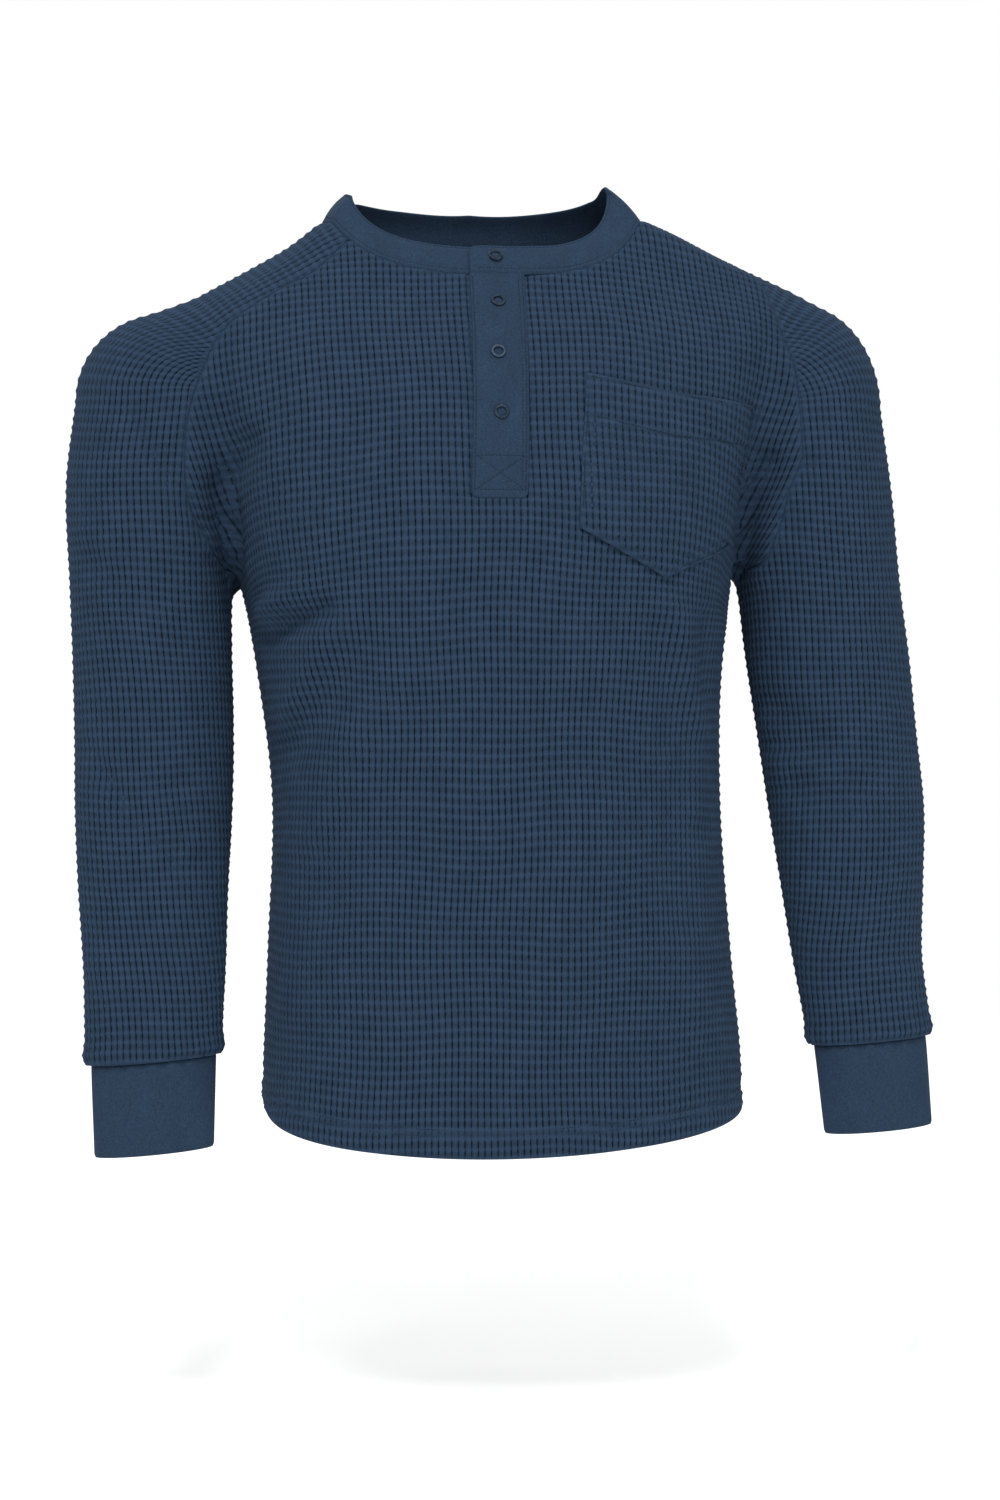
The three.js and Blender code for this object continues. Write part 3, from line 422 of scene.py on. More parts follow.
def cast_from_spine(x, turn, up, face):
    # Casts from the torso's spine, up over the shoulder where the height passes its top
    side = np.where(x < 0, -1, 1)
    crotch_x = np.where(side < 0, CROTCH[-1][0], CROTCH[1][0])
    crotch_z = np.where(side < 0, CROTCH[-1][2], CROTCH[1][2])
    top = crest(x) - SPINE_DROP
    rise = np.maximum(up - top, 0) / FAN_UP
    start = vector(x, SPINE_Y, np.minimum(up, top))
    along = vector(np.sin(turn) * np.cos(rise), face * np.cos(turn) * np.cos(rise), np.sin(rise))
    fanned = (up <= crotch_z) & (np.abs(turn) > 1e-9)
    reach = np.where(fanned, (crotch_x - x) / np.where(fanned, along[..., 0], 1), 400.0)
    return cast(start, along, reach)


def spine_half(up, side):
    above = up > CROTCH[side][2]
    return np.where(above, SPINE_WIDE, mix(SPINE_NARROW, SPINE_AT_ARMS, ease((up - SPREAD_FROM) / SPREAD_OVER)))


def half_width(up, side):
    narrow = mix(HALF_WIDTH_BODY, HALF_WIDTH_ARMS, ease((up - NARROW_FROM) / NARROW_OVER))
    return np.maximum(narrow, spine_half(up, side) + 8)


def torso_base(across, up, face, most_turn=math.pi / 2):
    side = -1 if np.mean(across) < 0 else 1
    half = spine_half(up, side)
    fan = (half_width(up, side) - half) / (math.pi / 2)
    turn = np.clip((np.abs(across) - half) / fan, 0, most_turn) * side
    return cast_from_spine(np.clip(across, -half, half), turn, up, face)


def up_of(p, face):
    # The pattern's height of a point on the front or back
    top = crest(p[..., 0]) - SPINE_DROP
    over = top + FAN_UP * np.arctan2(p[..., 2] - top, (p[..., 1] - SPINE_Y) * face)
    return np.where(p[..., 2] <= top, p[..., 2], over)


def neck_base(turns):
    angle = np.asarray(turns, float) * 2 * math.pi
    c = np.cos(angle)
    s = np.sin(angle)
    x = NECK["x"] + NECK["half"] * np.sign(c) * np.abs(c) ** (2 / NECK["square"])
    deep = np.where(s < 0, NECK["front"], NECK["back"])
    y = NECK["y"] + deep * np.sign(s) * np.abs(s) ** (2 / NECK["square"])
    inside = vector(mix(NECK["x"], x, 0.8), mix(NECK["y"], y, 0.55), -110)
    towards = vector(x, y, crest(x) - 6 - (y - CREST_Y) ** 2 / 110)
    return cast(inside, unit(towards - inside))


def through(points, count):
    # Even points along a smooth line through given ones
    points = np.asarray(points, float)
    knots = np.concatenate([[0], np.cumsum(np.sqrt(np.linalg.norm(np.diff(points, axis=0), axis=1)))])
    line = Curve(knots, points)(np.linspace(0, knots[-1], 800))
    return evenly(line, count)


def evenly(line, count):
    length = np.concatenate([[0], np.cumsum(np.linalg.norm(np.diff(line, axis=0), axis=1))])
    at = np.linspace(0, length[-1], count)
    return np.stack([np.interp(at, length, line[:, k]) for k in range(line.shape[1])], -1)


def armhole(table, side, face, turns):
    across, up = np.array(table, float).T
    points = cast_from_spine(across, np.zeros(len(across)), up, face)
    return through([CROTCH[side], *points, neck_base(turns)], 260)


armholes = {
    (-1, -1): armhole(ARMHOLE_RIGHT_FRONT, -1, -1, NECK_RIGHT_FRONT),
    (1, -1): armhole(ARMHOLE_LEFT_FRONT, 1, -1, NECK_LEFT_FRONT),
    (-1, 1): armhole(ARMHOLE_RIGHT_BACK, -1, 1, NECK_RIGHT_BACK),
    (1, 1): armhole(ARMHOLE_LEFT_BACK, 1, 1, NECK_LEFT_BACK),
}


class Chart:
    # A piece of the form laid flat: u is the length across each row, v is the rows' own measure

    def __init__(self, v, halves, u_step=3.0, u_most=345.0):
        # halves: for each side, points [row, step, 3] from the middle outwards
        self.v = v
        self.u = np.arange(-u_most, u_most + u_step / 2, u_step)
        rows = []
        for k in range(len(v)):
            sides = {}
            for side, points in halves.items():
                line = points[k]
                length = np.concatenate([[0], np.cumsum(np.linalg.norm(np.diff(line, axis=0), axis=1))])
                at = self.u[self.u * side >= 0] * side
                out = np.stack([np.interp(at, length, line[:, i]) for i in range(3)], -1)
                past = np.maximum(at - length[-1], 0)[:, None]
                out = out + unit(line[-1] - line[-4]) * past
                sides[side] = out
            rows.append(np.concatenate([sides[-1], sides[1][1:]]))
        self.base = np.array(rows)
        self.normal = outward(self.base)
        self.place = self.base + self.normal * fold_push(self.base, self.normal)[..., None]
        middle = len(self.u) // 2
        aside = int(70 / u_step)
        track = (self.base[:, middle - aside] + self.base[:, middle + aside]) / 2
        self.run = np.concatenate([[0], np.cumsum(np.linalg.norm(np.diff(track, axis=0), axis=1))])

    def look(self, grid, u, v):
        i = np.clip((v - self.v[0]) / (self.v[1] - self.v[0]), 0, len(self.v) - 1.001)
        j = np.clip((u - self.u[0]) / (self.u[1] - self.u[0]), 0, len(self.u) - 1.001)
        i0 = i.astype(int)
        j0 = j.astype(int)
        fi = (i - i0)[..., None]
        fj = (j - j0)[..., None]
        low = grid[i0, j0] * (1 - fj) + grid[i0, j0 + 1] * fj
        high = grid[i0 + 1, j0] * (1 - fj) + grid[i0 + 1, j0 + 1] * fj
        return low * (1 - fi) + high * fi

    def at(self, u, v):
        return self.look(self.place, u, v), unit(self.look(self.normal, u, v))

    def locate(self, p, v, way=0):
        # How far across each point lies on its own row, on one side of the middle where way isn't 0
        kept = self.u * way > -1e-9
        across = self.u[kept]
        out = []
        for point, height in zip(p, v):
            i = min(max((height - self.v[0]) / (self.v[1] - self.v[0]), 0), len(self.v) - 1.001)
            row = mix(self.base[int(i)], self.base[int(i) + 1], i - int(i))[kept]
            step = np.diff(row, axis=0)
            t = np.clip(np.sum((point - row[:-1]) * step, 1) / np.maximum(np.sum(step * step, 1), 1e-9), 0, 1)
            gap = np.linalg.norm(row[:-1] + step * t[:, None] - point, axis=1)
            k = int(np.argmin(gap))
            out.append((mix(across[k], across[k + 1], t[k]), height))
        return np.array(out)


def panel_chart(face):
    v = np.arange(-748.0, 84.0, 4.0)
    share = np.linspace(0, 1, 100)
    halves = {}
    for side in (-1, 1):
        below = v <= CROTCH[side][2]
        past = 1.08
        most = np.where(below, half_width(v, side), SPINE_WIDE / past)
        across = side * most[:, None] * share[None] * past
        across[:, 0] = side * 1e-6
        halves[side] = torso_base(across, np.broadcast_to(v[:, None], across.shape), face, math.pi * 0.6)
    return Chart(v, halves)


def panel_outline(chart, face):
    # The panel's edge in the chart's measure: hem, side and armhole, neckline, armhole and side
    def flat(points):
        return chart.locate(points, up_of(points, face))

    def side_line(side):
        up = np.linspace(HEM_SIDE, CROTCH[side][2] - 0.5, 160)
        return flat(torso_base(side * half_width(up, side), up, face))

    s = np.linspace(0, 1, 200)
    dip = HEM_DIP[face]
    wide = float(half_width(np.array(HEM_SIDE), 1))
    hem_up = HEM_SIDE - dip * np.sin(math.pi * s) ** 0.8
    hem = []
    for side in (-1, 1):
        part = (s < 0.5) if side < 0 else (s >= 0.5)
        hem.append(flat(torso_base(mix(-wide, wide, s[part]), hem_up[part], face)))
    turns = {-1: (NECK_LEFT_FRONT, NECK_RIGHT_FRONT), 1: (NECK_LEFT_BACK, NECK_RIGHT_BACK)}[face]
    neck = flat(neck_base(np.linspace(*turns, 240)))
    if face < 0:
        neck = with_slot(chart, neck)
    right = flat(armholes[(1, face)])
    left = flat(armholes[(-1, face)])
    parts = [*hem, side_line(1)[1:], right, neck[1:], left[::-1][1:], side_line(-1)[::-1][:-1]]
    return np.concatenate(parts)


def from_front(chart, outline, spacing=2.0):
    # A shape drawn on the front from in front of it, in the chart's measure
    corners = np.asarray(outline, float)
    dense = []
    for a, b in zip(corners, np.roll(corners, -1, axis=0)):
        count = max(int(np.linalg.norm(b - a) / spacing), 1)
        dense.append(mix(a, b, (np.arange(count) / count)[:, None]))
    dense = np.concatenate(dense)
    return flat_from_front(chart, dense)


def flat_from_front(chart, points):
    start = vector(points[:, 0], -400, points[:, 1])
    ahead = np.array([0, 1.0, 0])
    far = np.zeros(len(points))
    for _ in range(60):
        far = far + np.clip(field(start + ahead * far[:, None]), -20, 60) * 0.8
    surface = start + ahead * far[:, None]
    return chart.locate(surface, up_of(surface, -1))


def placket_outline(inset, top):
    rise = (top - PLACKET["bottom"]) / (PLACKET["top"] - PLACKET["bottom"])
    return [
        (PLACKET["bottom_left"] + inset, PLACKET["bottom"] + inset),
        (PLACKET["bottom_right"] - inset, PLACKET["bottom"] + inset),
        (mix(PLACKET["bottom_right"], PLACKET["top_right"], rise) - inset, top),
        (mix(PLACKET["bottom_left"], PLACKET["top_left"], rise) + inset, top),
    ]


def with_slot(chart, neck):
    # The neckline with the placket's slot cut down from it, from the wearer's left to the right
    corners = from_front(chart, placket_outline(SLOT_INSET, PLACKET["top"]), 500)
    low_left, low_right, high_right, high_left = corners
    before = neck[neck[:, 0] > high_right[0]]
    after = neck[neck[:, 0] < high_left[0]]
    down = mix(before[-1], low_right, np.linspace(0, 1, 60)[1:, None])
    across = mix(low_right, low_left, np.linspace(0, 1, 16)[1:, None])
    up = mix(low_left, after[0], np.linspace(0, 1, 60)[1:-1, None])
    return np.concatenate([before, down, across, up, after])


def signed_distance(u, v, outline):
    # Above 0 inside the outline, with the nearest place on it
    a = outline
    b = np.roll(outline, -1, axis=0)
    lengths = np.linalg.norm(b - a, axis=1)
    starts = np.concatenate([[0], np.cumsum(lengths)])[:-1]
    points = np.stack([u, v], -1)
    best = np.full(len(points), np.inf)
    near = np.zeros((len(points), 2))
    place = np.zeros(len(points))
    inside = np.zeros(len(points), bool)
    step = b - a
    step2 = np.maximum(np.sum(step * step, 1), 1e-12)
    for k in range(len(a)):
        rel = points - a[k]
        t = np.clip(rel @ step[k] / step2[k], 0, 1)
        foot = a[k] + step[k] * t[:, None]
        gap = np.hypot(points[:, 0] - foot[:, 0], points[:, 1] - foot[:, 1])
        closer = gap < best
        best[closer] = gap[closer]
        near[closer] = foot[closer]
        place[closer] = starts[k] + t[closer] * lengths[k]
        spans = (a[k, 1] > points[:, 1]) != (b[k, 1] > points[:, 1])
        if step[k, 1] != 0:
            crossing = a[k, 0] + (points[:, 1] - a[k, 1]) * step[k, 0] / step[k, 1]
            inside ^= spans & (points[:, 0] < crossing)
    return np.where(inside, best, -best), near, place


class Lattice:
    # A grid of flat points cut to an outline: points, their knit measure, triangles and edge loop

    def __init__(self, u, v, w, c, outline, cell):
        shape = u.shape
        flat = np.stack([u.ravel(), v.ravel()], -1)
        knit = np.stack([w.ravel(), c.ravel()], -1)
        far = self.far_inside(flat, outline, cell)
        gap = far.copy()
        near = flat.copy()
        place = np.zeros(len(flat))
        close = np.abs(far) < 6 * cell
        gap[close], near[close], place[close] = signed_distance(flat[close, 0], flat[close, 1], outline)
        snap = np.abs(gap) < 0.34 * cell
        flat[snap] = near[snap]
        gap[snap] = 0
        self.flat = list(map(tuple, flat))
        self.knit = list(map(tuple, knit))
        self.gap = list(gap)
        self.place = list(place)
        self.cuts = {}
        index = np.arange(len(flat)).reshape(shape)
        a, b = index[:-1, :-1].ravel(), index[:-1, 1:].ravel()
        c4, d = index[1:, 1:].ravel(), index[1:, :-1].ravel()
        tris = np.concatenate([np.stack([a, b, c4], -1), np.stack([a, c4, d], -1)])
        signs = np.sign(gap)[tris]
        whole = (signs >= 0).all(1) & (signs > 0).any(1)
        mixed = (signs > 0).any(1) & (signs < 0).any(1)
        faces = [tris[whole]]
        for tri in tris[mixed]:
            faces.append(np.array(self.clip(list(tri))).reshape(-1, 3))
        faces = np.concatenate(faces)
        used, packed = np.unique(faces, return_inverse=True)
        self.faces = packed.reshape(-1, 3)
        self.flat = np.array(self.flat)[used]
        self.knit = np.array(self.knit)[used]
        self.gap = np.array(self.gap)[used]
        self.place = np.array(self.place)[used]
        close = self.gap < 12
        self.gap[close] = np.maximum(signed_distance(self.flat[close, 0], self.flat[close, 1], outline)[0], 0)

    def far_inside(self, flat, outline, cell):
        # A rough signed distance, from a thinned outline
        rough = outline[:: max(len(outline) // 160, 1)]
        return signed_distance(flat[:, 0], flat[:, 1], rough)[0]

    def cut(self, a, b):
        key = (min(a, b), max(a, b))
        if key not in self.cuts:
            t = self.gap[a] / (self.gap[a] - self.gap[b])
            self.cuts[key] = len(self.flat)
            self.flat.append(tuple(mix(np.array(self.flat[a]), np.array(self.flat[b]), t)))
            self.knit.append(tuple(mix(np.array(self.knit[a]), np.array(self.knit[b]), t)))
            self.place.append(self.place[a])
            self.gap.append(0.0)
        return self.cuts[key]

    def clip(self, tri):
        ring = []
        for k in range(3):
            a, b = tri[k], tri[(k + 1) % 3]
            if self.gap[a] >= 0:
                ring.append(a)
            if self.gap[a] * self.gap[b] < 0:
                ring.append(self.cut(a, b))
        return [(ring[0], ring[k], ring[k + 1]) for k in range(1, len(ring) - 1)]


def edge_loops(faces):
    # Open edges joined into loops
    edges = np.concatenate([faces[:, [0, 1]], faces[:, [1, 2]], faces[:, [2, 0]]])
    size = int(faces.max()) + 1
    keys = edges[:, 0].astype(np.int64) * size + edges[:, 1]
    back = edges[:, 1].astype(np.int64) * size + edges[:, 0]
    open_edges = edges[~np.isin(keys, back)]
    after = {int(a): int(b) for a, b in open_edges}
    loops = []
    while after:
        start = next(iter(after))
        loop = [start]
        here = after.pop(start)
        while here != start and here in after:
            loop.append(here)
            here = after.pop(here)
        loops.append(loop)
    return sorted(loops, key=len, reverse=True)


def zip_loops(outer, inner, outer_points, inner_points):
    # Triangles between two closed loops of points that run beside each other
    inner_points = np.asarray(inner_points)
    start = int(np.argmin(np.linalg.norm(inner_points - outer_points[0], axis=1)))
    inner = inner[start:] + inner[:start]
    inner_points = np.roll(inner_points, -start, axis=0)
    faces = []
    i = 0
    j = 0
    while i < len(outer) or j < len(inner):
        a, b = outer_points[i % len(outer)], inner_points[j % len(inner)]
        next_a, next_b = outer_points[(i + 1) % len(outer)], inner_points[(j + 1) % len(inner)]
        step_outer = np.linalg.norm(next_a - b) if i < len(outer) else np.inf
        step_inner = np.linalg.norm(next_b - a) if j < len(inner) else np.inf
        if step_outer <= step_inner:
            faces.append((outer[(i + 1) % len(outer)], outer[i % len(outer)], inner[j % len(inner)]))
            i += 1
        else:
            faces.append((outer[i % len(outer)], inner[j % len(inner)], inner[(j + 1) % len(inner)]))
            j += 1
    return faces


def relief(w, c):
    # The knit's height: wide ridges with narrow grooves between, which bars cross at every course
    groove = np.clip(1 - np.abs((w % 1) - 0.5) * GROOVE_SLOPE, 0, 1)
    bar = (0.5 + 0.5 * np.cos(2 * math.pi * c)) ** BAR_SHARP
    return BUMP_HEIGHT * bar - groove * mix(PIT_DEPTH, BAR_DEPTH, bar)


collection = bpy.context.scene.collection


def make_object(name, points, faces, cell=None, material=None, smooth=True):
    mesh = bpy.data.meshes.new(name)
    mesh.from_pydata((np.asarray(points) * MM).tolist(), [], [list(map(int, face)) for face in faces])
    if cell is not None:
        layer = mesh.attributes.new("cell", "FLOAT_VECTOR", "POINT")
        layer.data.foreach_set("vector", np.asarray(cell, np.float32).ravel())
    mesh.validate()
    mesh.update()
    if smooth:
        mesh.shade_smooth()
    piece = bpy.data.objects.new(name, mesh)
    collection.objects.link(piece)
    if material:
        mesh.materials.append(material)
    return piece


def wall_from(chart, outline, outer, inner, name, material, u, v, w, c, cell, knit=True, tuck=1.3, inner_cell=11.0,
              shape=None):
    # A closed wall: a fine outer side cut to the outline, a plain inner side, and the rim between them
    fine = Lattice(u, v, w, c, outline, cell)
    place, normal = chart.at(fine.flat[:, 0], fine.flat[:, 1])
    quiet = np.full(len(place), np.inf)
    height = outer - tuck * np.exp(-(fine.gap / 1.6) ** 2)
    if shape is not None:
        raised, quiet = shape(fine.flat, fine.gap)
        height = height + raised
    if knit:
        calm = ease(fine.gap / QUIET_SEAM) * ease((quiet - 0.6) / QUIET_STITCH)
        height = height + relief(fine.knit[:, 0], fine.knit[:, 1]) * calm
    top = place + normal * np.broadcast_to(height, len(place))[:, None]
    low = outline.min(0) - inner_cell
    high = outline.max(0) + inner_cell
    iu, iv = np.meshgrid(np.arange(low[0], high[0], inner_cell), np.arange(low[1], high[1], inner_cell))
    plain = Lattice(iu, iv, iu / WALE, iv / COURSE, outline, inner_cell)
    under_place, under_normal = chart.at(plain.flat[:, 0], plain.flat[:, 1])
    under = under_place + under_normal * inner
    count = len(top)
    faces = fine.faces.tolist() + (plain.faces[:, ::-1] + count).tolist()
    outer_loops = edge_loops(fine.faces)
    inner_loops = edge_loops(plain.faces)
    for outer_loop, inner_loop in zip(outer_loops[:1], inner_loops[:1]):
        shifted = [k + count for k in inner_loop]
        faces += zip_loops(outer_loop, shifted, fine.flat[outer_loop], plain.flat[inner_loop])
    points = np.concatenate([top, under])
    still = np.minimum(fine.gap, quiet * QUIET_SEAM / QUIET_STITCH)
    cells = np.concatenate([
        np.column_stack([fine.knit, still]), np.column_stack([plain.knit, np.full(len(under), 50.0)]),
    ])
    return make_object(name, points, faces, cells, material)


def knit_grid(chart, outline, wale, course, droop, phase=(0.0, 0.0)):
    # Places of the knit's grid in the chart's measure, with the wales and courses that they count
    low = outline.min(0)
    high = outline.max(0)
    reach = max(-low[0], high[0]) + 2 * wale
    ribs = int(reach / wale / WALE_LOW) + 1
    w = (np.arange(-ribs, ribs)[:, None] + np.array(ACROSS_WALE)[None]).ravel()
    run_low = np.interp(low[1], chart.v, chart.run)
    run_high = np.interp(high[1], chart.v, chart.run)
    rows = int((run_high - run_low + droop * 3 + 4 * course) / course * STEPS_PER_COURSE)
    c = np.arange(-3, rows) / STEPS_PER_COURSE
    w, c = np.meshgrid(w, c)
    run = run_low + (c + phase[1]) * course
    level = np.interp(run, chart.run, chart.v)
    u = (w + phase[0]) * wale * mix(WALE_LOW, WALE_HIGH, ease((level - WALE_CHANGE_FROM) / WALE_CHANGE_OVER))
    sag = droop * (u / 150) ** 2 * ease((level + 330) / 90)
    wave = 1.3 * np.sin(u / 31 + run / 57) + 0.9 * np.sin(u / 17 - run / 41) + 0.7 * np.sin(u / 63 + run / 23)
    v = np.interp(run - np.minimum(sag, 30) + wave, chart.run, chart.v)
    u = u + 0.8 * np.sin(run / 37 + u / 59) + 0.5 * np.sin(run / 19 - u / 83)
    return u, v, w, c


def jersey_grid(outline, cell):
    low = outline.min(0) - 2 * cell
    high = outline.max(0) + 2 * cell
    u, v = np.meshgrid(np.arange(low[0], high[0], cell), np.arange(low[1], high[1], cell))
    return u, v, u, v


# Materials
def new_material(name):
    material = bpy.data.materials.new(name)
    material.use_nodes = True
    tree = material.node_tree
    return material, tree, tree.nodes["Principled BSDF"]


def link(tree, a, b):
    tree.links.new(a, b)


def math_node(tree, operation, a, b=None, c=None, clamp=False):
    node = tree.nodes.new("ShaderNodeMath")
    node.operation = operation
    node.use_clamp = clamp
    for socket, value in zip(node.inputs, (a, b, c)):
        if value is None:
            continue
        if isinstance(value, (int, float)):
            socket.default_value = value
        else:
            link(tree, value, socket)
    return node.outputs[0]


def ramp(tree, factor, stops):
    node = tree.nodes.new("ShaderNodeValToRGB")
    while len(node.color_ramp.elements) < len(stops):
        node.color_ramp.elements.new(0.5)
    for element, (at, colour) in zip(node.color_ramp.elements, stops):
        element.position = at
        element.color = (*colour, 1)
    link(tree, factor, node.inputs[0])
    return node.outputs[0]


def noise(tree, vector_socket, scale, detail=2.0):
    node = tree.nodes.new("ShaderNodeTexNoise")
    node.inputs["Scale"].default_value = scale
    node.inputs["Detail"].default_value = detail
    link(tree, vector_socket, node.inputs["Vector"])
    return node.outputs[0]


# The knit's own colour on its ridges, the painted shade in its pits, and how strong the painted shade is halfway
RIDGE_COLOUR = (0.0265, 0.0505, 0.0925)
PIT_PAINTED_SHADE_COLOUR = (0.0055, 0.0105, 0.019)
MIDDLE_SHADE = 0.5


def waffle_material():
    material, tree, shader = new_material("waffle_knit")
    attribute = tree.nodes.new("ShaderNodeAttribute")
    attribute.attribute_name = "cell"
    split = tree.nodes.new("ShaderNodeSeparateXYZ")
    link(tree, attribute.outputs["Vector"], split.inputs[0])
    w, c = split.outputs[0], split.outputs[1]
    seam = math_node(tree, "MULTIPLY", split.outputs[2], 1 / QUIET_SEAM, clamp=True)
    cell = tree.nodes.new("ShaderNodeCombineXYZ")
    link(tree, math_node(tree, "FLOOR", w), cell.inputs[0])
    link(tree, math_node(tree, "FLOOR", math_node(tree, "ADD", c, 0.5)), cell.inputs[1])
    uneven = tree.nodes.new("ShaderNodeTexWhiteNoise")
    uneven.noise_dimensions = "2D"
    link(tree, cell.outputs[0], uneven.inputs["Vector"])
    uneven = math_node(tree, "MULTIPLY_ADD", uneven.outputs["Value"], 0.55, 0.6)
    wale_wave = math_node(tree, "COSINE", math_node(tree, "MULTIPLY", w, 2 * math.pi))
    groove = math_node(tree, "MULTIPLY_ADD", wale_wave, -0.5, 0.5)
    groove = math_node(tree, "POWER", groove, 8.0)
    course_wave = math_node(tree, "COSINE", math_node(tree, "MULTIPLY", c, 2 * math.pi))
    stitch_wave = math_node(tree, "COSINE", math_node(tree, "MULTIPLY", c, 4 * math.pi))
    # Painted shade: the pits in the grooves are painted dark, more between the bars than at them, varying at random
    # from cell to cell and fading near seams
    slot = math_node(tree, "MULTIPLY_ADD", course_wave, -0.22, 0.76)
    slot = math_node(tree, "MULTIPLY_ADD", stitch_wave, -0.12, slot)
    slot = math_node(tree, "MULTIPLY", slot, uneven)
    pit_painted_shade = math_node(tree, "MULTIPLY", groove, math_node(tree, "MULTIPLY", slot, seam), clamp=True)
    coordinates = tree.nodes.new("ShaderNodeTexCoord")
    fibre = noise(tree, coordinates.outputs["Object"], 1400.0, 3.0)
    patch = noise(tree, coordinates.outputs["Object"], 60.0, 2.0)
    middle = tuple(MIDDLE_SHADE * k for k in RIDGE_COLOUR)
    # The ridges keep the knit's colour and the pits are painted down to the painted pit shade
    colour = ramp(tree, pit_painted_shade, [(0.0, RIDGE_COLOUR), (0.45, middle), (0.85, PIT_PAINTED_SHADE_COLOUR)])
    vary = tree.nodes.new("ShaderNodeMix")
    vary.data_type = "RGBA"
    vary.blend_type = "MULTIPLY"
    vary.inputs["Factor"].default_value = 1.0
    tone = math_node(tree, "MULTIPLY_ADD", fibre, 0.7, 0.62)
    tone = math_node(tree, "MULTIPLY", tone, math_node(tree, "MULTIPLY_ADD", patch, 0.35, 0.83))
    # Painted shade: the rows between the bars are painted darker and the bars lighter
    tone = math_node(tree, "MULTIPLY", tone, math_node(tree, "MULTIPLY_ADD", course_wave, 0.13, 0.9))
    grey = tree.nodes.new("ShaderNodeCombineColor")
    for k in range(3):
        link(tree, tone, grey.inputs[k])
    link(tree, colour, vary.inputs["A"])
    link(tree, grey.outputs[0], vary.inputs["B"])
    link(tree, vary.outputs["Result"], shader.inputs["Base Color"])
    yarn = math_node(tree, "MULTIPLY_ADD", stitch_wave, 0.18, math_node(tree, "MULTIPLY", fibre, 0.5))
    bump = tree.nodes.new("ShaderNodeBump")
    bump.inputs["Strength"].default_value = 0.5
    bump.inputs["Distance"].default_value = 0.0006
    link(tree, yarn, bump.inputs["Height"])
    link(tree, bump.outputs[0], shader.inputs["Normal"])
    cloth_finish(shader, 0.95)
    return material


def cloth_finish(shader, roughness):
    shader.inputs["Roughness"].default_value = roughness
    shader.inputs["Specular IOR Level"].default_value = 0.08
    shader.inputs["Sheen Weight"].default_value = 0.015
    shader.inputs["Sheen Roughness"].default_value = 0.6
    shader.inputs["Sheen Tint"].default_value = (0.45, 0.6, 0.8, 1)


JERSEY_COLOUR = (0.0215, 0.0405, 0.0735)


def jersey_material():
    # Smooth jersey with faint upright ribs of stitches
    material, tree, shader = new_material("smooth_jersey")
    coordinates = tree.nodes.new("ShaderNodeTexCoord")
    fibre = noise(tree, coordinates.outputs["Object"], 1800.0, 3.0)
    patch = noise(tree, coordinates.outputs["Object"], 45.0, 2.0)
    mottle = noise(tree, coordinates.outputs["Object"], 650.0, 3.0)
    split = tree.nodes.new("ShaderNodeSeparateXYZ")
    link(tree, coordinates.outputs["Object"], split.inputs[0])
    rib = math_node(tree, "SINE", math_node(tree, "MULTIPLY", split.outputs[0], 2 * math.pi / 0.0011))
    row = math_node(tree, "SINE", math_node(tree, "MULTIPLY", split.outputs[2], 2 * math.pi / 0.0009))
    tone = math_node(tree, "MULTIPLY_ADD", fibre, 0.5, 0.74)
    tone = math_node(tree, "MULTIPLY", tone, math_node(tree, "MULTIPLY_ADD", patch, 0.3, 0.86))
    tone = math_node(tree, "MULTIPLY", tone, math_node(tree, "MULTIPLY_ADD", mottle, 0.9, 0.55))
    colour = tree.nodes.new("ShaderNodeMix")
    colour.data_type = "RGBA"
    colour.blend_type = "MULTIPLY"
    colour.inputs["Factor"].default_value = 1.0
    colour.inputs["A"].default_value = (*JERSEY_COLOUR, 1)
    grey = tree.nodes.new("ShaderNodeCombineColor")
    for k in range(3):
        link(tree, tone, grey.inputs[k])
    link(tree, grey.outputs[0], colour.inputs["B"])
    link(tree, colour.outputs["Result"], shader.inputs["Base Color"])
    height = math_node(tree, "ADD", math_node(tree, "MULTIPLY", rib, 0.12), math_node(tree, "MULTIPLY", row, 0.08))
    height = math_node(tree, "ADD", height, math_node(tree, "MULTIPLY", fibre, 0.6))
    bump = tree.nodes.new("ShaderNodeBump")
    bump.inputs["Strength"].default_value = 0.35
    bump.inputs["Distance"].default_value = 0.0003
    link(tree, height, bump.inputs["Height"])
    link(tree, bump.outputs[0], shader.inputs["Normal"])
    cloth_finish(shader, 0.9)
    return material


def metal_material():
    material, tree, shader = new_material("snap_metal")
    coordinates = tree.nodes.new("ShaderNodeTexCoord")
    wear = noise(tree, coordinates.outputs["Object"], 500.0, 4.0)
    colour = ramp(tree, wear, [(0.3, (0.016, 0.029, 0.05)), (0.75, (0.042, 0.064, 0.096))])
    link(tree, colour, shader.inputs["Base Color"])
    rough = math_node(tree, "MULTIPLY_ADD", wear, 0.25, 0.22)
    link(tree, rough, shader.inputs["Roughness"])
    shader.inputs["Metallic"].default_value = 0.75
    return material


def thread_material():
    material, tree, shader = new_material("thread")
    coordinates = tree.nodes.new("ShaderNodeTexCoord")
    twist = noise(tree, coordinates.outputs["Object"], 2600.0, 2.0)
    colour = ramp(tree, twist, [(0.3, (0.010, 0.018, 0.031)), (0.7, (0.020, 0.034, 0.058))])
    link(tree, colour, shader.inputs["Base Color"])
    cloth_finish(shader, 0.8)
    return material


waffle = waffle_material()
jersey = jersey_material()
metal = metal_material()
thread = thread_material()

# Stitches
STITCH_PITCH = 2.7
STITCH_LENGTH = 2.0
STITCH_RADIUS = 0.3


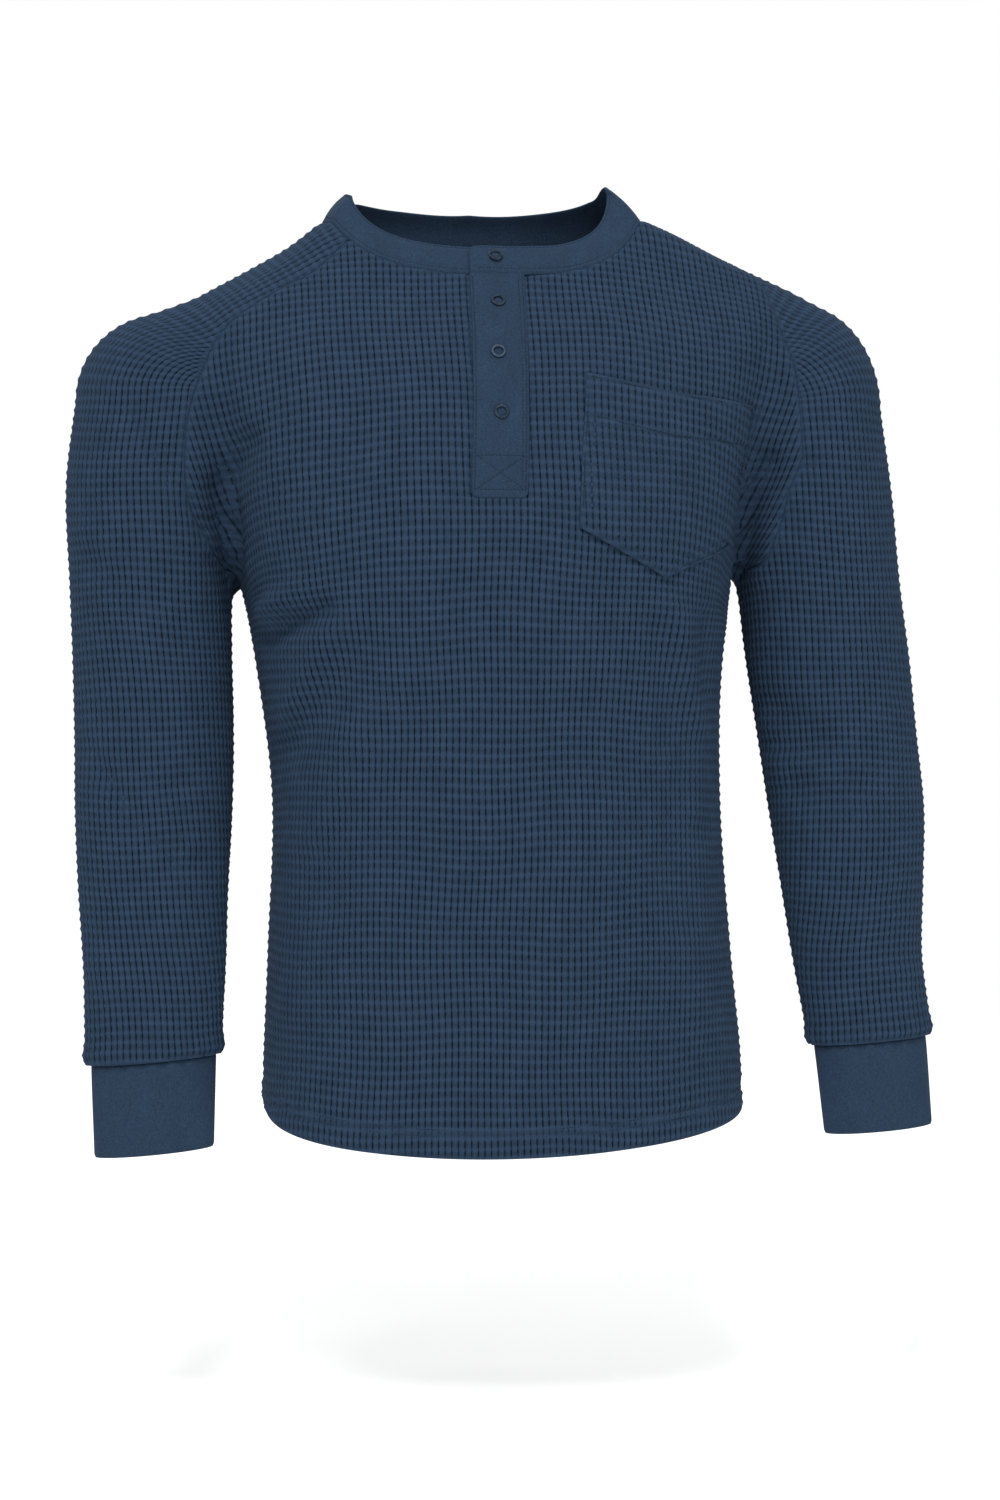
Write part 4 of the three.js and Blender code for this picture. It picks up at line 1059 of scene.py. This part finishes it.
def stitches_along(points, normals, pitch=STITCH_PITCH):
    # Short threads that lie end to end along a line on the cloth
    length = np.concatenate([[0], np.cumsum(np.linalg.norm(np.diff(points, axis=0), axis=1))])
    count = int(length[-1] / pitch)
    starts = (np.arange(count) + 0.15) * pitch
    vertices = []
    faces = []
    for start in starts:
        at = np.array([start, start + 0.2 * STITCH_LENGTH, start + 0.8 * STITCH_LENGTH, start + STITCH_LENGTH])
        middle = np.stack([np.interp(at, length, points[:, k]) for k in range(3)], -1)
        up = unit(np.stack([np.interp(at, length, normals[:, k]) for k in range(3)], -1))
        along = unit(middle[-1] - middle[0])
        aside = unit(np.cross(up, along))
        base = len(vertices)
        vertices.append(middle[0] - up[0] * STITCH_RADIUS)
        for k in (1, 2):
            for turn in range(5):
                angle = 2 * math.pi * turn / 5
                vertices.append(middle[k] + (aside[k] * math.cos(angle) + up[k] * math.sin(angle)) * STITCH_RADIUS)
        vertices.append(middle[3] - up[3] * STITCH_RADIUS)
        for turn in range(5):
            a = base + 1 + turn
            b = base + 1 + (turn + 1) % 5
            faces += [(base, b, a), (a, b, b + 5, a + 5), (a + 5, b + 5, base + 11)]
    return vertices, faces


def stitch_piece(name, rows, material):
    vertices = []
    faces = []
    for points, normals in rows:
        more, their_faces = stitches_along(points, normals)
        faces += [tuple(k + len(vertices) for k in face) for face in their_faces]
        vertices += more
    piece = make_object(name, vertices, faces, None, material)
    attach(piece, "root")
    return piece


def row_on(chart, flat, height):
    # A line given in the chart's measure, laid on the cloth
    place, normal = chart.at(flat[:, 0], flat[:, 1])
    return place + normal * height, normal


def flat_distance(flat, line):
    # How far each flat point lies from a flat line
    return distance_to_line(flat[:, 0], flat[:, 1], [tuple(point) for point in line])


def groove(distance, depth, wide):
    return -depth * np.exp(-(distance / wide) ** 2)


HEM_STITCH = 16.0
HEM_ROWS = 5.0
HEM_FOLD = 0.5


def hem_line(chart, face):
    # The hem's edge in the chart's measure, from the wearer's right to the left
    s = np.linspace(0, 1, 160)
    wide = float(half_width(np.array(HEM_SIDE), 1))
    up = HEM_SIDE - HEM_DIP[face] * np.sin(math.pi * s) ** 0.8
    parts = []
    for side in (-1, 1):
        part = (s < 0.5) if side < 0 else (s >= 0.5)
        points = torso_base(mix(-wide, wide, s[part]), up[part], face)
        parts.append(chart.locate(points, up[part]))
    return np.concatenate(parts)


PLACKET_CHANNEL_LEFT = 1.6
PLACKET_CHANNEL_RIGHT = 0.8


def placket_channels(chart):
    # The front is pressed down beside the placket, more on the wearer's right
    channels = []
    for side, depth in (("left", PLACKET_CHANNEL_LEFT), ("right", PLACKET_CHANNEL_RIGHT)):
        out = -1.2 if side == "left" else 1.2
        top = (PLACKET["top_" + side] + out, PLACKET["top"])
        low = (PLACKET["bottom_" + side] + out, PLACKET["bottom"])
        channels.append((flat_from_front(chart, evenly(np.array([top, low], float), 12)), depth))
    return channels


def hem_shape(chart, face):
    edge = hem_line(chart, face)
    channels = placket_channels(chart) if face < 0 else []

    def shape(flat, gap):
        above = flat[:, 1] - np.interp(flat[:, 0], edge[:, 0], edge[:, 1])
        fold = HEM_FOLD * (1 - ease((above - HEM_STITCH + 1) / 2))
        for line, depth in channels:
            fold = fold + groove(flat_distance(flat, line), depth, 1.6)
        low = above - HEM_STITCH
        high = low - HEM_ROWS
        return fold + groove(low, 1.0, 1.3) + groove(high, 0.8, 1.1), np.minimum(np.abs(low), np.abs(high))

    return shape


def hem_rows(chart, face):
    edge = hem_line(chart, face)
    rows = []
    for up in (HEM_STITCH, HEM_STITCH + HEM_ROWS):
        flat = edge + np.array([0, up])
        rows.append(row_on(chart, flat[2:-2], -0.5))
    return rows


def panel(face, name, node):
    chart = panel_chart(face)
    outline = panel_outline(chart, face)
    grid = knit_grid(chart, outline, WALE, COURSE, COURSE_DROOP if face < 0 else 0.5 * COURSE_DROOP)
    piece = wall_from(
        chart, outline, 0.0, -BODY_CLOTH, name, waffle, *grid, cell=WALE / STEPS_PER_WALE, shape=hem_shape(chart, face),
    )
    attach(piece, "root")
    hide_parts(node)
    return chart, outline, piece


def area_of(outline):
    x, y = outline.T
    return 0.5 * float(np.sum(x * np.roll(y, -1) - y * np.roll(x, -1)))


front_chart, front_outline, front_piece = panel(-1, "front_cloth", "front")
back_chart, back_outline, back_piece = panel(1, "back_cloth", "back")
stitch_piece("hem_stitches", hem_rows(front_chart, -1) + hem_rows(back_chart, 1), thread)


# Sleeves
def arm_middle(side, run):
    # The arm's middle line: straight up, round over the shoulder, and on towards the neck
    arm = arm_right_at if side < 0 else arm_left_at
    table = ARM_RIGHT if side < 0 else ARM_LEFT
    highest = table["z"][-1]
    top_x, top_y = table["x"][-1], table["y"][-1]
    outside = BEND_RADIUS + BEND_REACH
    straight = np.minimum(run, highest)
    tilt = np.clip((run - highest) / outside, 0, BEND[side])
    on = np.maximum(run - highest - outside * BEND[side], 0)
    x = top_x - side * (BEND_RADIUS * (1 - np.cos(tilt)) + on * np.sin(tilt))
    z = highest + BEND_RADIUS * np.sin(tilt) + on * np.cos(tilt)
    bent = run > highest
    x = np.where(bent, x, arm["x"](straight))
    y = np.where(bent, top_y, arm["y"](straight))
    z = np.where(bent, z, run)
    return vector(x, y, z), tilt


def run_of(side, p):
    # How far along the arm a point lies: its height, then the turn over the shoulder
    table = ARM_RIGHT if side < 0 else ARM_LEFT
    highest = table["z"][-1]
    outside = BEND_RADIUS + BEND_REACH
    pivot_x = table["x"][-1] - side * BEND_RADIUS
    tilt = np.arctan2(p[..., 2] - highest, side * (p[..., 0] - pivot_x))
    end, _ = arm_middle(side, np.array(highest + outside * BEND[side]))
    onward = np.array([-side * math.sin(BEND[side]), 0, math.cos(BEND[side])])
    past = (p - end) @ onward
    bent = highest + outside * np.clip(tilt, 0, BEND[side])
    over = np.where(tilt >= BEND[side], bent + np.maximum(past, 0), bent)
    return np.where(p[..., 2] <= highest, p[..., 2], over)


def tilt_end(side, p):
    arm = arm_right_at if side < 0 else arm_left_at
    share = ease((END_TILT["from"] - p[..., 2]) / END_TILT["over"])
    across = p[..., 0] - arm["x"](p[..., 2])
    rise = share * (END_TILT["slope"] * across + side * END_TILT["shift"])
    return p + vector(0, 0, rise)


def sleeve_chart(side):
    top = ARM_RIGHT["z"][-1] + (BEND_RADIUS + BEND_REACH) * BEND[side] + SADDLE_RUN
    v = np.arange(SLEEVE_END - 12.0, top + 30, 4.0)
    at, tilt = arm_middle(side, v)
    out = vector(side * np.cos(tilt), np.zeros(len(v)), np.sin(tilt))
    halves = {}
    for way in (-1, 1):
        turn = np.linspace(0, math.pi * 1.04, 130)
        above = ease((v - CROTCH[side][2] - 60) / 120)
        most = mix(1.0, 0.62, above)
        turns = turn[None] * most[:, None]
        along = out[:, None] * np.cos(turns)[..., None]
        along[..., 1] += way * side * np.sin(turns)
        start = np.broadcast_to(at[:, None], along.shape)
        halves[way] = tilt_end(side, cast(start, along, 130.0))
    return Chart(v, halves, 2.5, 260.0)


def sleeve_outline(chart, side):
    # From the front seam at the underarm up to the neck, across, and down the back seam and the tube's slit
    lines = {}
    for face in (-1, 1):
        seam = armholes[(side, face)]
        lines[face] = chart.locate(seam, run_of(side, seam), face * side)
    turns = {
        -1: (NECK_RIGHT_FRONT, NECK_RIGHT_BACK), 1: (NECK_LEFT_FRONT - 1, NECK_LEFT_BACK),
    }[side]
    neck = neck_base(np.linspace(*turns, 90))
    neck = chart.locate(neck, run_of(side, neck))
    heights = np.linspace(SLEEVE_END, CROTCH[side][2], 140)
    at, _ = arm_middle(side, heights)
    inward = cast(at, np.broadcast_to(np.array([-side, 0, 0], float), at.shape), 130.0)
    inward = tilt_end(side, inward)
    slit = {}
    for way in (-1, 1):
        half = []
        for point, height in zip(inward, heights):
            i = (height - chart.v[0]) / (chart.v[1] - chart.v[0])
            row = mix(chart.base[int(i)], chart.base[int(i) + 1], i - int(i))
            part = chart.u * way > 40
            far = np.linalg.norm(row[part] - point, axis=1)
            half.append((chart.u[part][int(np.argmin(far))], height))
        half = np.array(half)
        smooth = np.polyfit(half[:, 1], half[:, 0], 4)
        slit[way] = np.column_stack([np.polyval(smooth, heights), heights])
    front_way = -side
    front = lines[-1]
    back = lines[1]
    parts = [slit[front_way][:-1], front, neck[1:-1], back[::-1], slit[-front_way][::-1][1:]]
    return np.concatenate(parts)


PUCKER_HEIGHT = 0.9
PUCKER_WIDTH = 13.0
PUCKER_REACH = 13.0
SLEEVE_FALL = 1.6


def cuff_puckers(flat, gap):
    # The sleeve's end bulges over the cuff and is gathered a little into it
    up = flat[:, 1] - SLEEVE_END
    ripple = np.sin(2 * math.pi * flat[:, 0] / PUCKER_WIDTH + 1.4 * np.sin(flat[:, 0] / 21))
    bulge = SLEEVE_FALL * np.exp(-((up - 7) / 7) ** 2)
    return bulge + PUCKER_HEIGHT * ripple * np.exp(-np.maximum(up, 0) / PUCKER_REACH), np.full(len(up), np.inf)


def sleeve(side, name, node):
    chart = sleeve_chart(side)
    outline = sleeve_outline(chart, side)
    grid = knit_grid(chart, outline, SLEEVE_WALE, SLEEVE_COURSE, 0.0)
    piece = wall_from(
        chart, outline, 0.0, -BODY_CLOTH, name, waffle, *grid, cell=SLEEVE_WALE / STEPS_PER_WALE, shape=cuff_puckers,
    )
    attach(piece, "root")
    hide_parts(node)
    return chart, outline, piece


right_chart, right_outline, sleeve_right = sleeve(-1, "sleeve_right_cloth", "sleeve_right")
left_chart, left_outline, sleeve_left = sleeve(1, "sleeve_left_cloth", "sleeve_left")

# Pocket
POCKET_BAND = [(65, -158), (132, -172), (196, -174)]
POCKET_EDGE_STITCH = 2.0
POCKET_INNER_STITCH = 8.0
POCKET_LIFT = 2.0
POCKET_PHASE = (0.45, 0.4)
POCKET_LIFTED = [(55, -236), (125, -272)]

pocket_outline = from_front(front_chart, POCKET)
pocket_band = flat_from_front(front_chart, evenly(np.array(POCKET_BAND, float), 40))
pocket_lifted = flat_from_front(front_chart, evenly(np.array(POCKET_LIFTED, float), 20))


def pocket_shape(flat, gap):
    above = flat[:, 1] - np.interp(flat[:, 0], pocket_band[:, 0], pocket_band[:, 1])
    band = 0.5 * ease((above + 1) / 2)
    lines = groove(above, 1.5, 1.3) + groove(gap - POCKET_EDGE_STITCH - 0.6, 1.3, 1.1) - groove(gap - 1, 0.8, 1.1)
    inner = groove(gap - POCKET_INNER_STITCH, 1.4, 1.1) * (1 - ease(above + 2))
    lift = POCKET_LIFT * np.exp(-(flat_distance(flat, pocket_lifted) / 9) ** 2)
    quiet = np.minimum(np.abs(above), np.abs(gap - POCKET_EDGE_STITCH))
    return band + lines + inner + lift, quiet


def inset_line(outline, distance):
    # A line inside a closed flat outline, at a distance from it
    along = unit(np.roll(outline, -1, axis=0) - np.roll(outline, 1, axis=0))
    side = np.sign(area_of(outline))
    return outline + side * distance * np.stack([-along[:, 1], along[:, 0]], -1)


pocket_grid = knit_grid(front_chart, front_outline, WALE, COURSE, COURSE_DROOP, POCKET_PHASE)
pocket = wall_from(
    front_chart, pocket_outline, LAYER_GAP + POCKET_CLOTH, LAYER_GAP, "pocket_cloth", waffle, *pocket_grid,
    cell=WALE / STEPS_PER_WALE, tuck=0.9, shape=pocket_shape,
)
POCKET_THREAD = LAYER_GAP + POCKET_CLOTH - 0.3
pocket_rows = [
    row_on(front_chart, inset_line(pocket_outline, POCKET_EDGE_STITCH), POCKET_THREAD),
    row_on(front_chart, pocket_band[2:-2], POCKET_THREAD),
]
stitch_piece("pocket_stitches", pocket_rows, thread)
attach(pocket, "root")
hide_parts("pocket")

# Placket strips
ABOVE_NECK = -40


PLACKET_ROUND = 5.0
PLACKET_EDGE_STITCH = 1.8
PLACKET_SECOND_STITCH = 4.6
BOX_TOP = -190.0
BOX_BOTTOM = -215.0
BOX_ASIDE = 2.6
PLACKET_CELL = 1.0


def rounded(outline, radius, corners=4):
    # The outline with its first corners rounded off
    points = [np.array(point, float) for point in outline]
    out = []
    for k, corner in enumerate(points):
        if k >= 2:
            out.append(corner)
            continue
        before = corner + unit(points[k - 1] - corner) * radius
        after = corner + unit(points[(k + 1) % len(points)] - corner) * radius
        for step in np.linspace(0, 1, corners + 1):
            out.append(mix(mix(before, corner, step), mix(corner, after, step), step))
    return [tuple(point) for point in out]


def across_placket(share, z):
    rise = (z - PLACKET["bottom"]) / (PLACKET["top"] - PLACKET["bottom"])
    left = mix(PLACKET["bottom_left"], PLACKET["top_left"], rise)
    right = mix(PLACKET["bottom_right"], PLACKET["top_right"], rise)
    return mix(left, right, share), left, right


def box_lines():
    # The stitched box with its cross at the placket's lower end, seen from the front
    _, left_top, right_top = across_placket(0, BOX_TOP)
    _, left_low, right_low = across_placket(0, BOX_BOTTOM)
    a = (left_top + BOX_ASIDE, BOX_TOP)
    b = (right_top - BOX_ASIDE, BOX_TOP)
    c = (right_low - BOX_ASIDE, BOX_BOTTOM)
    d = (left_low + BOX_ASIDE, BOX_BOTTOM)
    return [[a, b], [d, c], [a, c], [b, d]]


def placket_lines():
    lines = []
    for inset in (PLACKET_EDGE_STITCH, PLACKET_SECOND_STITCH):
        _, left_top, right_top = across_placket(0, PLACKET["top"] - 4)
        _, left_low, right_low = across_placket(0, PLACKET["bottom"] + 3)
        lines.append([(right_top - inset, PLACKET["top"] - 4), (right_low - inset, PLACKET["bottom"] + 3)])
        if inset == PLACKET_EDGE_STITCH:
            lines.append([(left_top + inset, PLACKET["top"] - 4), (left_low + inset, PLACKET["bottom"] + 3)])
    return lines + box_lines()


placket_flat_lines = [flat_from_front(front_chart, evenly(np.array(line, float), 40)) for line in placket_lines()]


def placket_shape(flat, gap):
    pressed = np.zeros(len(flat))
    for line in placket_flat_lines:
        pressed = np.minimum(pressed, groove(flat_distance(flat, line[::3]), 0.65, 0.9))
    return pressed, np.full(len(flat), np.inf)


def placket_strip(name, node, inset, outer, inner, top, shape=None):
    outline = from_front(front_chart, rounded(placket_outline(inset, top), PLACKET_ROUND))
    piece = wall_from(
        front_chart, outline, outer, inner, name, jersey, *jersey_grid(outline, PLACKET_CELL), cell=PLACKET_CELL,
        knit=False, tuck=0.7, inner_cell=4.0, shape=shape,
    )
    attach(piece, "root")
    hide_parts(node)
    return piece


placket_over = placket_strip(
    "placket_over_cloth", "placket_over", 0, LAYER_GAP + JERSEY_CLOTH, LAYER_GAP, PLACKET["top"] - 1, placket_shape,
)
placket_rows = [row_on(front_chart, line, LAYER_GAP + JERSEY_CLOTH - 0.5) for line in placket_flat_lines]
stitch_piece("placket_stitches", placket_rows, thread)
placket_under = placket_strip(
    "placket_under_cloth", "placket_under", SLOT_INSET + 0.5, 0.0, -BODY_CLOTH, PLACKET["top"] - 1,
)


# Cuffs
def tube(name, node, side):
    arm = arm_right_at if side < 0 else arm_left_at
    steps = 144
    rows = 34
    rise = np.linspace(0, 1, rows + 1)
    z = mix(CUFF_END, SLEEVE_END - 0.4, rise)
    angle = np.linspace(0, 2 * math.pi, steps, endpoint=False)
    half = arm["half"](z) - mix(2, 4, rise)
    deep = arm["deep"](z) - mix(1, 3, rise)
    edge = 1 - np.exp(-np.minimum(z - CUFF_END, SLEEVE_END - z + 1) / 0.8)
    layers = []
    for depth in (0, -CUFF_CLOTH):
        soft = (1 - edge) * (-0.7 if depth == 0 else 0.5)
        a = (half + depth + soft)[:, None]
        b = (deep + depth + soft)[:, None]
        x = arm["x"](z)[:, None] + a * np.cos(angle)
        y = arm["y"](z)[:, None] + b * np.sin(angle)
        layers.append(tilt_end(side, vector(x, y, z[:, None])))
    points = np.concatenate([layer.reshape(-1, 3) for layer in layers])
    size = (rows + 1) * steps
    faces = []
    for i in range(rows):
        for j in range(steps):
            k = (j + 1) % steps
            a, b, c, d = i * steps + j, i * steps + k, (i + 1) * steps + k, (i + 1) * steps + j
            faces.append((a, b, c, d))
            faces.append((size + d, size + c, size + b, size + a))
    for row in (0, rows):
        for j in range(steps):
            k = (j + 1) % steps
            a, b = row * steps + j, row * steps + k
            quad = (size + a, size + b, b, a)
            faces.append(quad if row == 0 else quad[::-1])
    piece = make_object(name, points, faces, None, jersey)
    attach(piece, "root")
    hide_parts(node)
    return piece


cuff_right = tube("cuff_right_cloth", "cuff_right", -1)
cuff_left = tube("cuff_left_cloth", "cuff_left", 1)

# Collar band
BAND_RISE = {"front": 21, "right": 21, "left": 25, "back": 23}
BAND_LEAN = {"front": 12, "right": 17, "left": 26, "back": 9}
BAND_OVER = 2.0
BAND_BULGE = 1.6
BAND_LIFT = 0.6
BAND_UNDER_END = 14
BAND_OVER_PAST = 4
BAND_OVER_FADE = 30
BAND_CORNER = 8.0
BAND_FOOT_SUNK = 2.4
BAND_STEP = 1.5
BAND_STITCH_IN = 2.2
BAND_ROWS = 26
NECK_SLOPE = 0.004


def round_neck(size, angle):
    ahead = np.sin(angle)
    across = np.cos(angle)
    depth = np.where(ahead < 0, size["front"], size["back"])
    width = np.where(across < 0, size["right"], size["left"])
    return depth * ahead ** 2 + width * across ** 2


def front_turn(x):
    # The turn round the neck, at the front, that lies at a given distance across
    turns = np.linspace(0.55, 0.95, 400)
    return float(np.interp(x, neck_base(turns)[:, 0], turns))


class Band:
    # The collar band's outer surface: its foot stands on the neckline and its top leans in

    def __init__(self):
        start = front_turn(PLACKET["top_left"])
        end = front_turn(PLACKET["top_left"] + BAND_UNDER_END + PLACKET["top_right"] - PLACKET["top_left"]) + 1
        past = front_turn(PLACKET["top_right"] + BAND_OVER_PAST)
        fade = front_turn(PLACKET["top_right"] + BAND_OVER_FADE)
        rough = np.linspace(start, end, 1400)
        line = neck_base(rough)
        length = np.concatenate([[0], np.cumsum(np.linalg.norm(np.diff(line, axis=0), axis=1))])
        self.along = np.linspace(0, length[-1], int(length[-1] / BAND_STEP))
        turns = np.interp(self.along, length, rough)
        angle = turns * 2 * math.pi
        self.foot = neck_base(turns)
        self.rise = round_neck(BAND_RISE, angle)
        self.lean = round_neck(BAND_LEAN, angle)
        step = neck_base(turns + NECK_SLOPE) - neck_base(turns - NECK_SLOPE)
        step[:, 2] = 0
        step = unit(step)
        self.out = vector(step[:, 1], -step[:, 0], 0)
        self.over = BAND_OVER * (1 - ease((turns - past) / (fade - past)))
        self.normal = unit(self.out * self.rise[:, None] + vector(0, 0, self.lean))
        self.tall = np.hypot(self.rise, self.lean)

    def at(self, up, depth):
        # up and depth are arrays, a value for each step along the band
        place = self.foot - self.out * (self.lean * up)[:, None] + vector(0, 0, self.rise * up + BAND_LIFT)
        bulge = BAND_BULGE * np.sin(math.pi * np.clip(up, 0, 1))
        return place + self.normal * (self.over + bulge + depth)[:, None]


def band_section():
    # Round the band's section: up the outside, over the fold and down the inside
    half = BAND_CLOTH / 2
    points = []
    for share in np.linspace(0, 1, BAND_ROWS):
        points.append(("out", share, 0.0))
    for turn in np.linspace(0, math.pi, 7)[1:-1]:
        points.append(("top", half * math.sin(turn), half * (math.cos(turn) - 1)))
    for share in np.linspace(1, 0, 10):
        points.append(("in", share, -BAND_CLOTH))
    return points


def make_band():
    band = Band()
    half = BAND_CLOTH / 2
    corner = np.clip(BAND_CORNER - band.along, 0, BAND_CORNER)
    cut = BAND_CORNER - np.sqrt(BAND_CORNER ** 2 - corner ** 2)
    tall = band.tall - cut
    columns_of = []
    for part, first, second in band_section():
        if part == "top":
            up = (tall - half + first) / band.tall
            columns_of.append(band.at(up, np.full(len(up), second)))
            continue
        distance = mix(-BAND_FOOT_SUNK, tall - half, first)
        depth = np.full(len(distance), second)
        if part == "out":
            depth = depth + groove(distance - BAND_STITCH_IN, 0.5, 0.8) + groove(tall - distance - BAND_STITCH_IN, 0.5, 0.8)
            depth = depth - 1.6 * np.exp(-((distance + BAND_FOOT_SUNK) / 1.3) ** 2)
        columns_of.append(band.at(distance / band.tall, depth))
    grid = np.array(columns_of)
    ring, steps = grid.shape[:2]
    faces = []
    for i in range(ring):
        k = (i + 1) % ring
        for j in range(steps - 1):
            faces.append((i * steps + j, i * steps + j + 1, k * steps + j + 1, k * steps + j))
    faces.append(tuple(i * steps for i in range(ring)))
    faces.append(tuple(i * steps + steps - 1 for i in reversed(range(ring))))
    piece = make_object("collar_band_cloth", grid.reshape(-1, 3), faces, None, jersey)
    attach(piece, "root")
    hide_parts("collar_band")
    rows = []
    for distance in (np.full(len(tall), BAND_STITCH_IN), tall - BAND_STITCH_IN):
        line = band.at(distance / band.tall, np.full(len(distance), -0.35))
        rows.append((line[4:-2], band.normal[4:-2]))
    stitch_piece("collar_stitches", rows, thread)


make_band()

# Carried-over solids
for node, material in (("snap_1", metal), ("snap_2", metal), ("snap_3", metal), ("snap_4", metal)):
    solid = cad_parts[node]
    for k in range(max(len(solid.material_slots), 1)):
        if len(solid.data.materials) <= k:
            solid.data.materials.append(material)
        else:
            solid.material_slots[k].material = material

# Camera
CAMERA_YAW = math.radians(8)
CAMERA_DISTANCE = 2200
CAMERA_ASIDE = 16.2
CAMERA_Z = -404
LENS = 68.57


def add_camera():
    data = bpy.data.cameras.new("camera")
    data.lens = LENS
    data.sensor_width = 36
    data.sensor_fit = "AUTO"
    camera = bpy.data.objects.new("camera", data)
    right = np.array([math.cos(CAMERA_YAW), -math.sin(CAMERA_YAW), 0])
    fore = np.array([math.sin(CAMERA_YAW), math.cos(CAMERA_YAW), 0])
    eye = right * CAMERA_ASIDE - fore * CAMERA_DISTANCE + np.array([0, 0, CAMERA_Z])
    camera.location = eye * MM
    camera.rotation_euler = (math.pi / 2, 0, -CAMERA_YAW)
    collection.objects.link(camera)
    bpy.context.scene.camera = camera


add_camera()


# Floor and light
FLOOR_Z = -900
FLOOR_RADIUS = 3200
FLOOR_SIDES = 96
FLOOR_GLOW = 0.33


def add_stage():
    points = [(0.0, 0.0, FLOOR_Z)]
    for k in range(FLOOR_SIDES):
        angle = 2 * math.pi * k / FLOOR_SIDES
        points.append((FLOOR_RADIUS * math.cos(angle), FLOOR_RADIUS * math.sin(angle), FLOOR_Z))
    faces = [(0, 1 + k, 1 + (k + 1) % FLOOR_SIDES) for k in range(FLOOR_SIDES)]
    material, tree, shader = new_material("studio_paper")
    coordinates = tree.nodes.new("ShaderNodeTexCoord")
    grain = noise(tree, coordinates.outputs["Object"], 8.0)
    colour = ramp(tree, grain, [(0.3, (0.90, 0.90, 0.90)), (0.7, (0.92, 0.92, 0.92))])
    link(tree, colour, shader.inputs["Base Color"])
    shader.inputs["Roughness"].default_value = 0.9
    shader.inputs["Emission Color"].default_value = (1, 1, 1, 1)
    shader.inputs["Emission Strength"].default_value = FLOOR_GLOW
    make_object("studio_floor", points, faces, None, material)


def add_light(name, place, target, size, power):
    data = bpy.data.lights.new(name, "AREA")
    data.shape = "RECTANGLE"
    data.size = size[0]
    data.size_y = size[1]
    data.energy = power
    light = bpy.data.objects.new(name, data)
    light.location = place
    aim = np.array(target) - np.array(place)
    light.rotation_euler = (math.atan2(math.hypot(aim[0], aim[1]), -aim[2]), 0, math.atan2(aim[1], aim[0]) - math.pi / 2)
    collection.objects.link(light)


WORLD_LIGHT = 0.46


def add_world():
    # White behind the object, and a softer white as its light from all round
    world = bpy.data.worlds.new("studio")
    world.use_nodes = True
    tree = world.node_tree
    background = tree.nodes["Background"]
    background.inputs["Color"].default_value = (1, 1, 1, 1)
    seen = tree.nodes.new("ShaderNodeLightPath").outputs["Is Camera Ray"]
    link(tree, math_node(tree, "MULTIPLY_ADD", seen, 1 - WORLD_LIGHT, WORLD_LIGHT), background.inputs["Strength"])
    bpy.context.scene.world = world


add_stage()
add_light("key", (-0.7, -2.0, 2.5), (0, 0, -0.35), (1.2, 1.2), 83)
add_light("fill", (2.2, -2.4, 0.4), (0, 0, -0.4), (2.0, 2.0), 14)
add_light("back_right", (-1.6, 2.0, 2.0), (-0.1, 0.2, -0.5), (1.8, 1.8), 26)
add_light("back_left", (1.6, 2.0, 2.0), (0.1, 0.2, -0.5), (1.8, 1.8), 26)
add_world()
bpy.context.scene.view_settings.view_transform = "Standard"
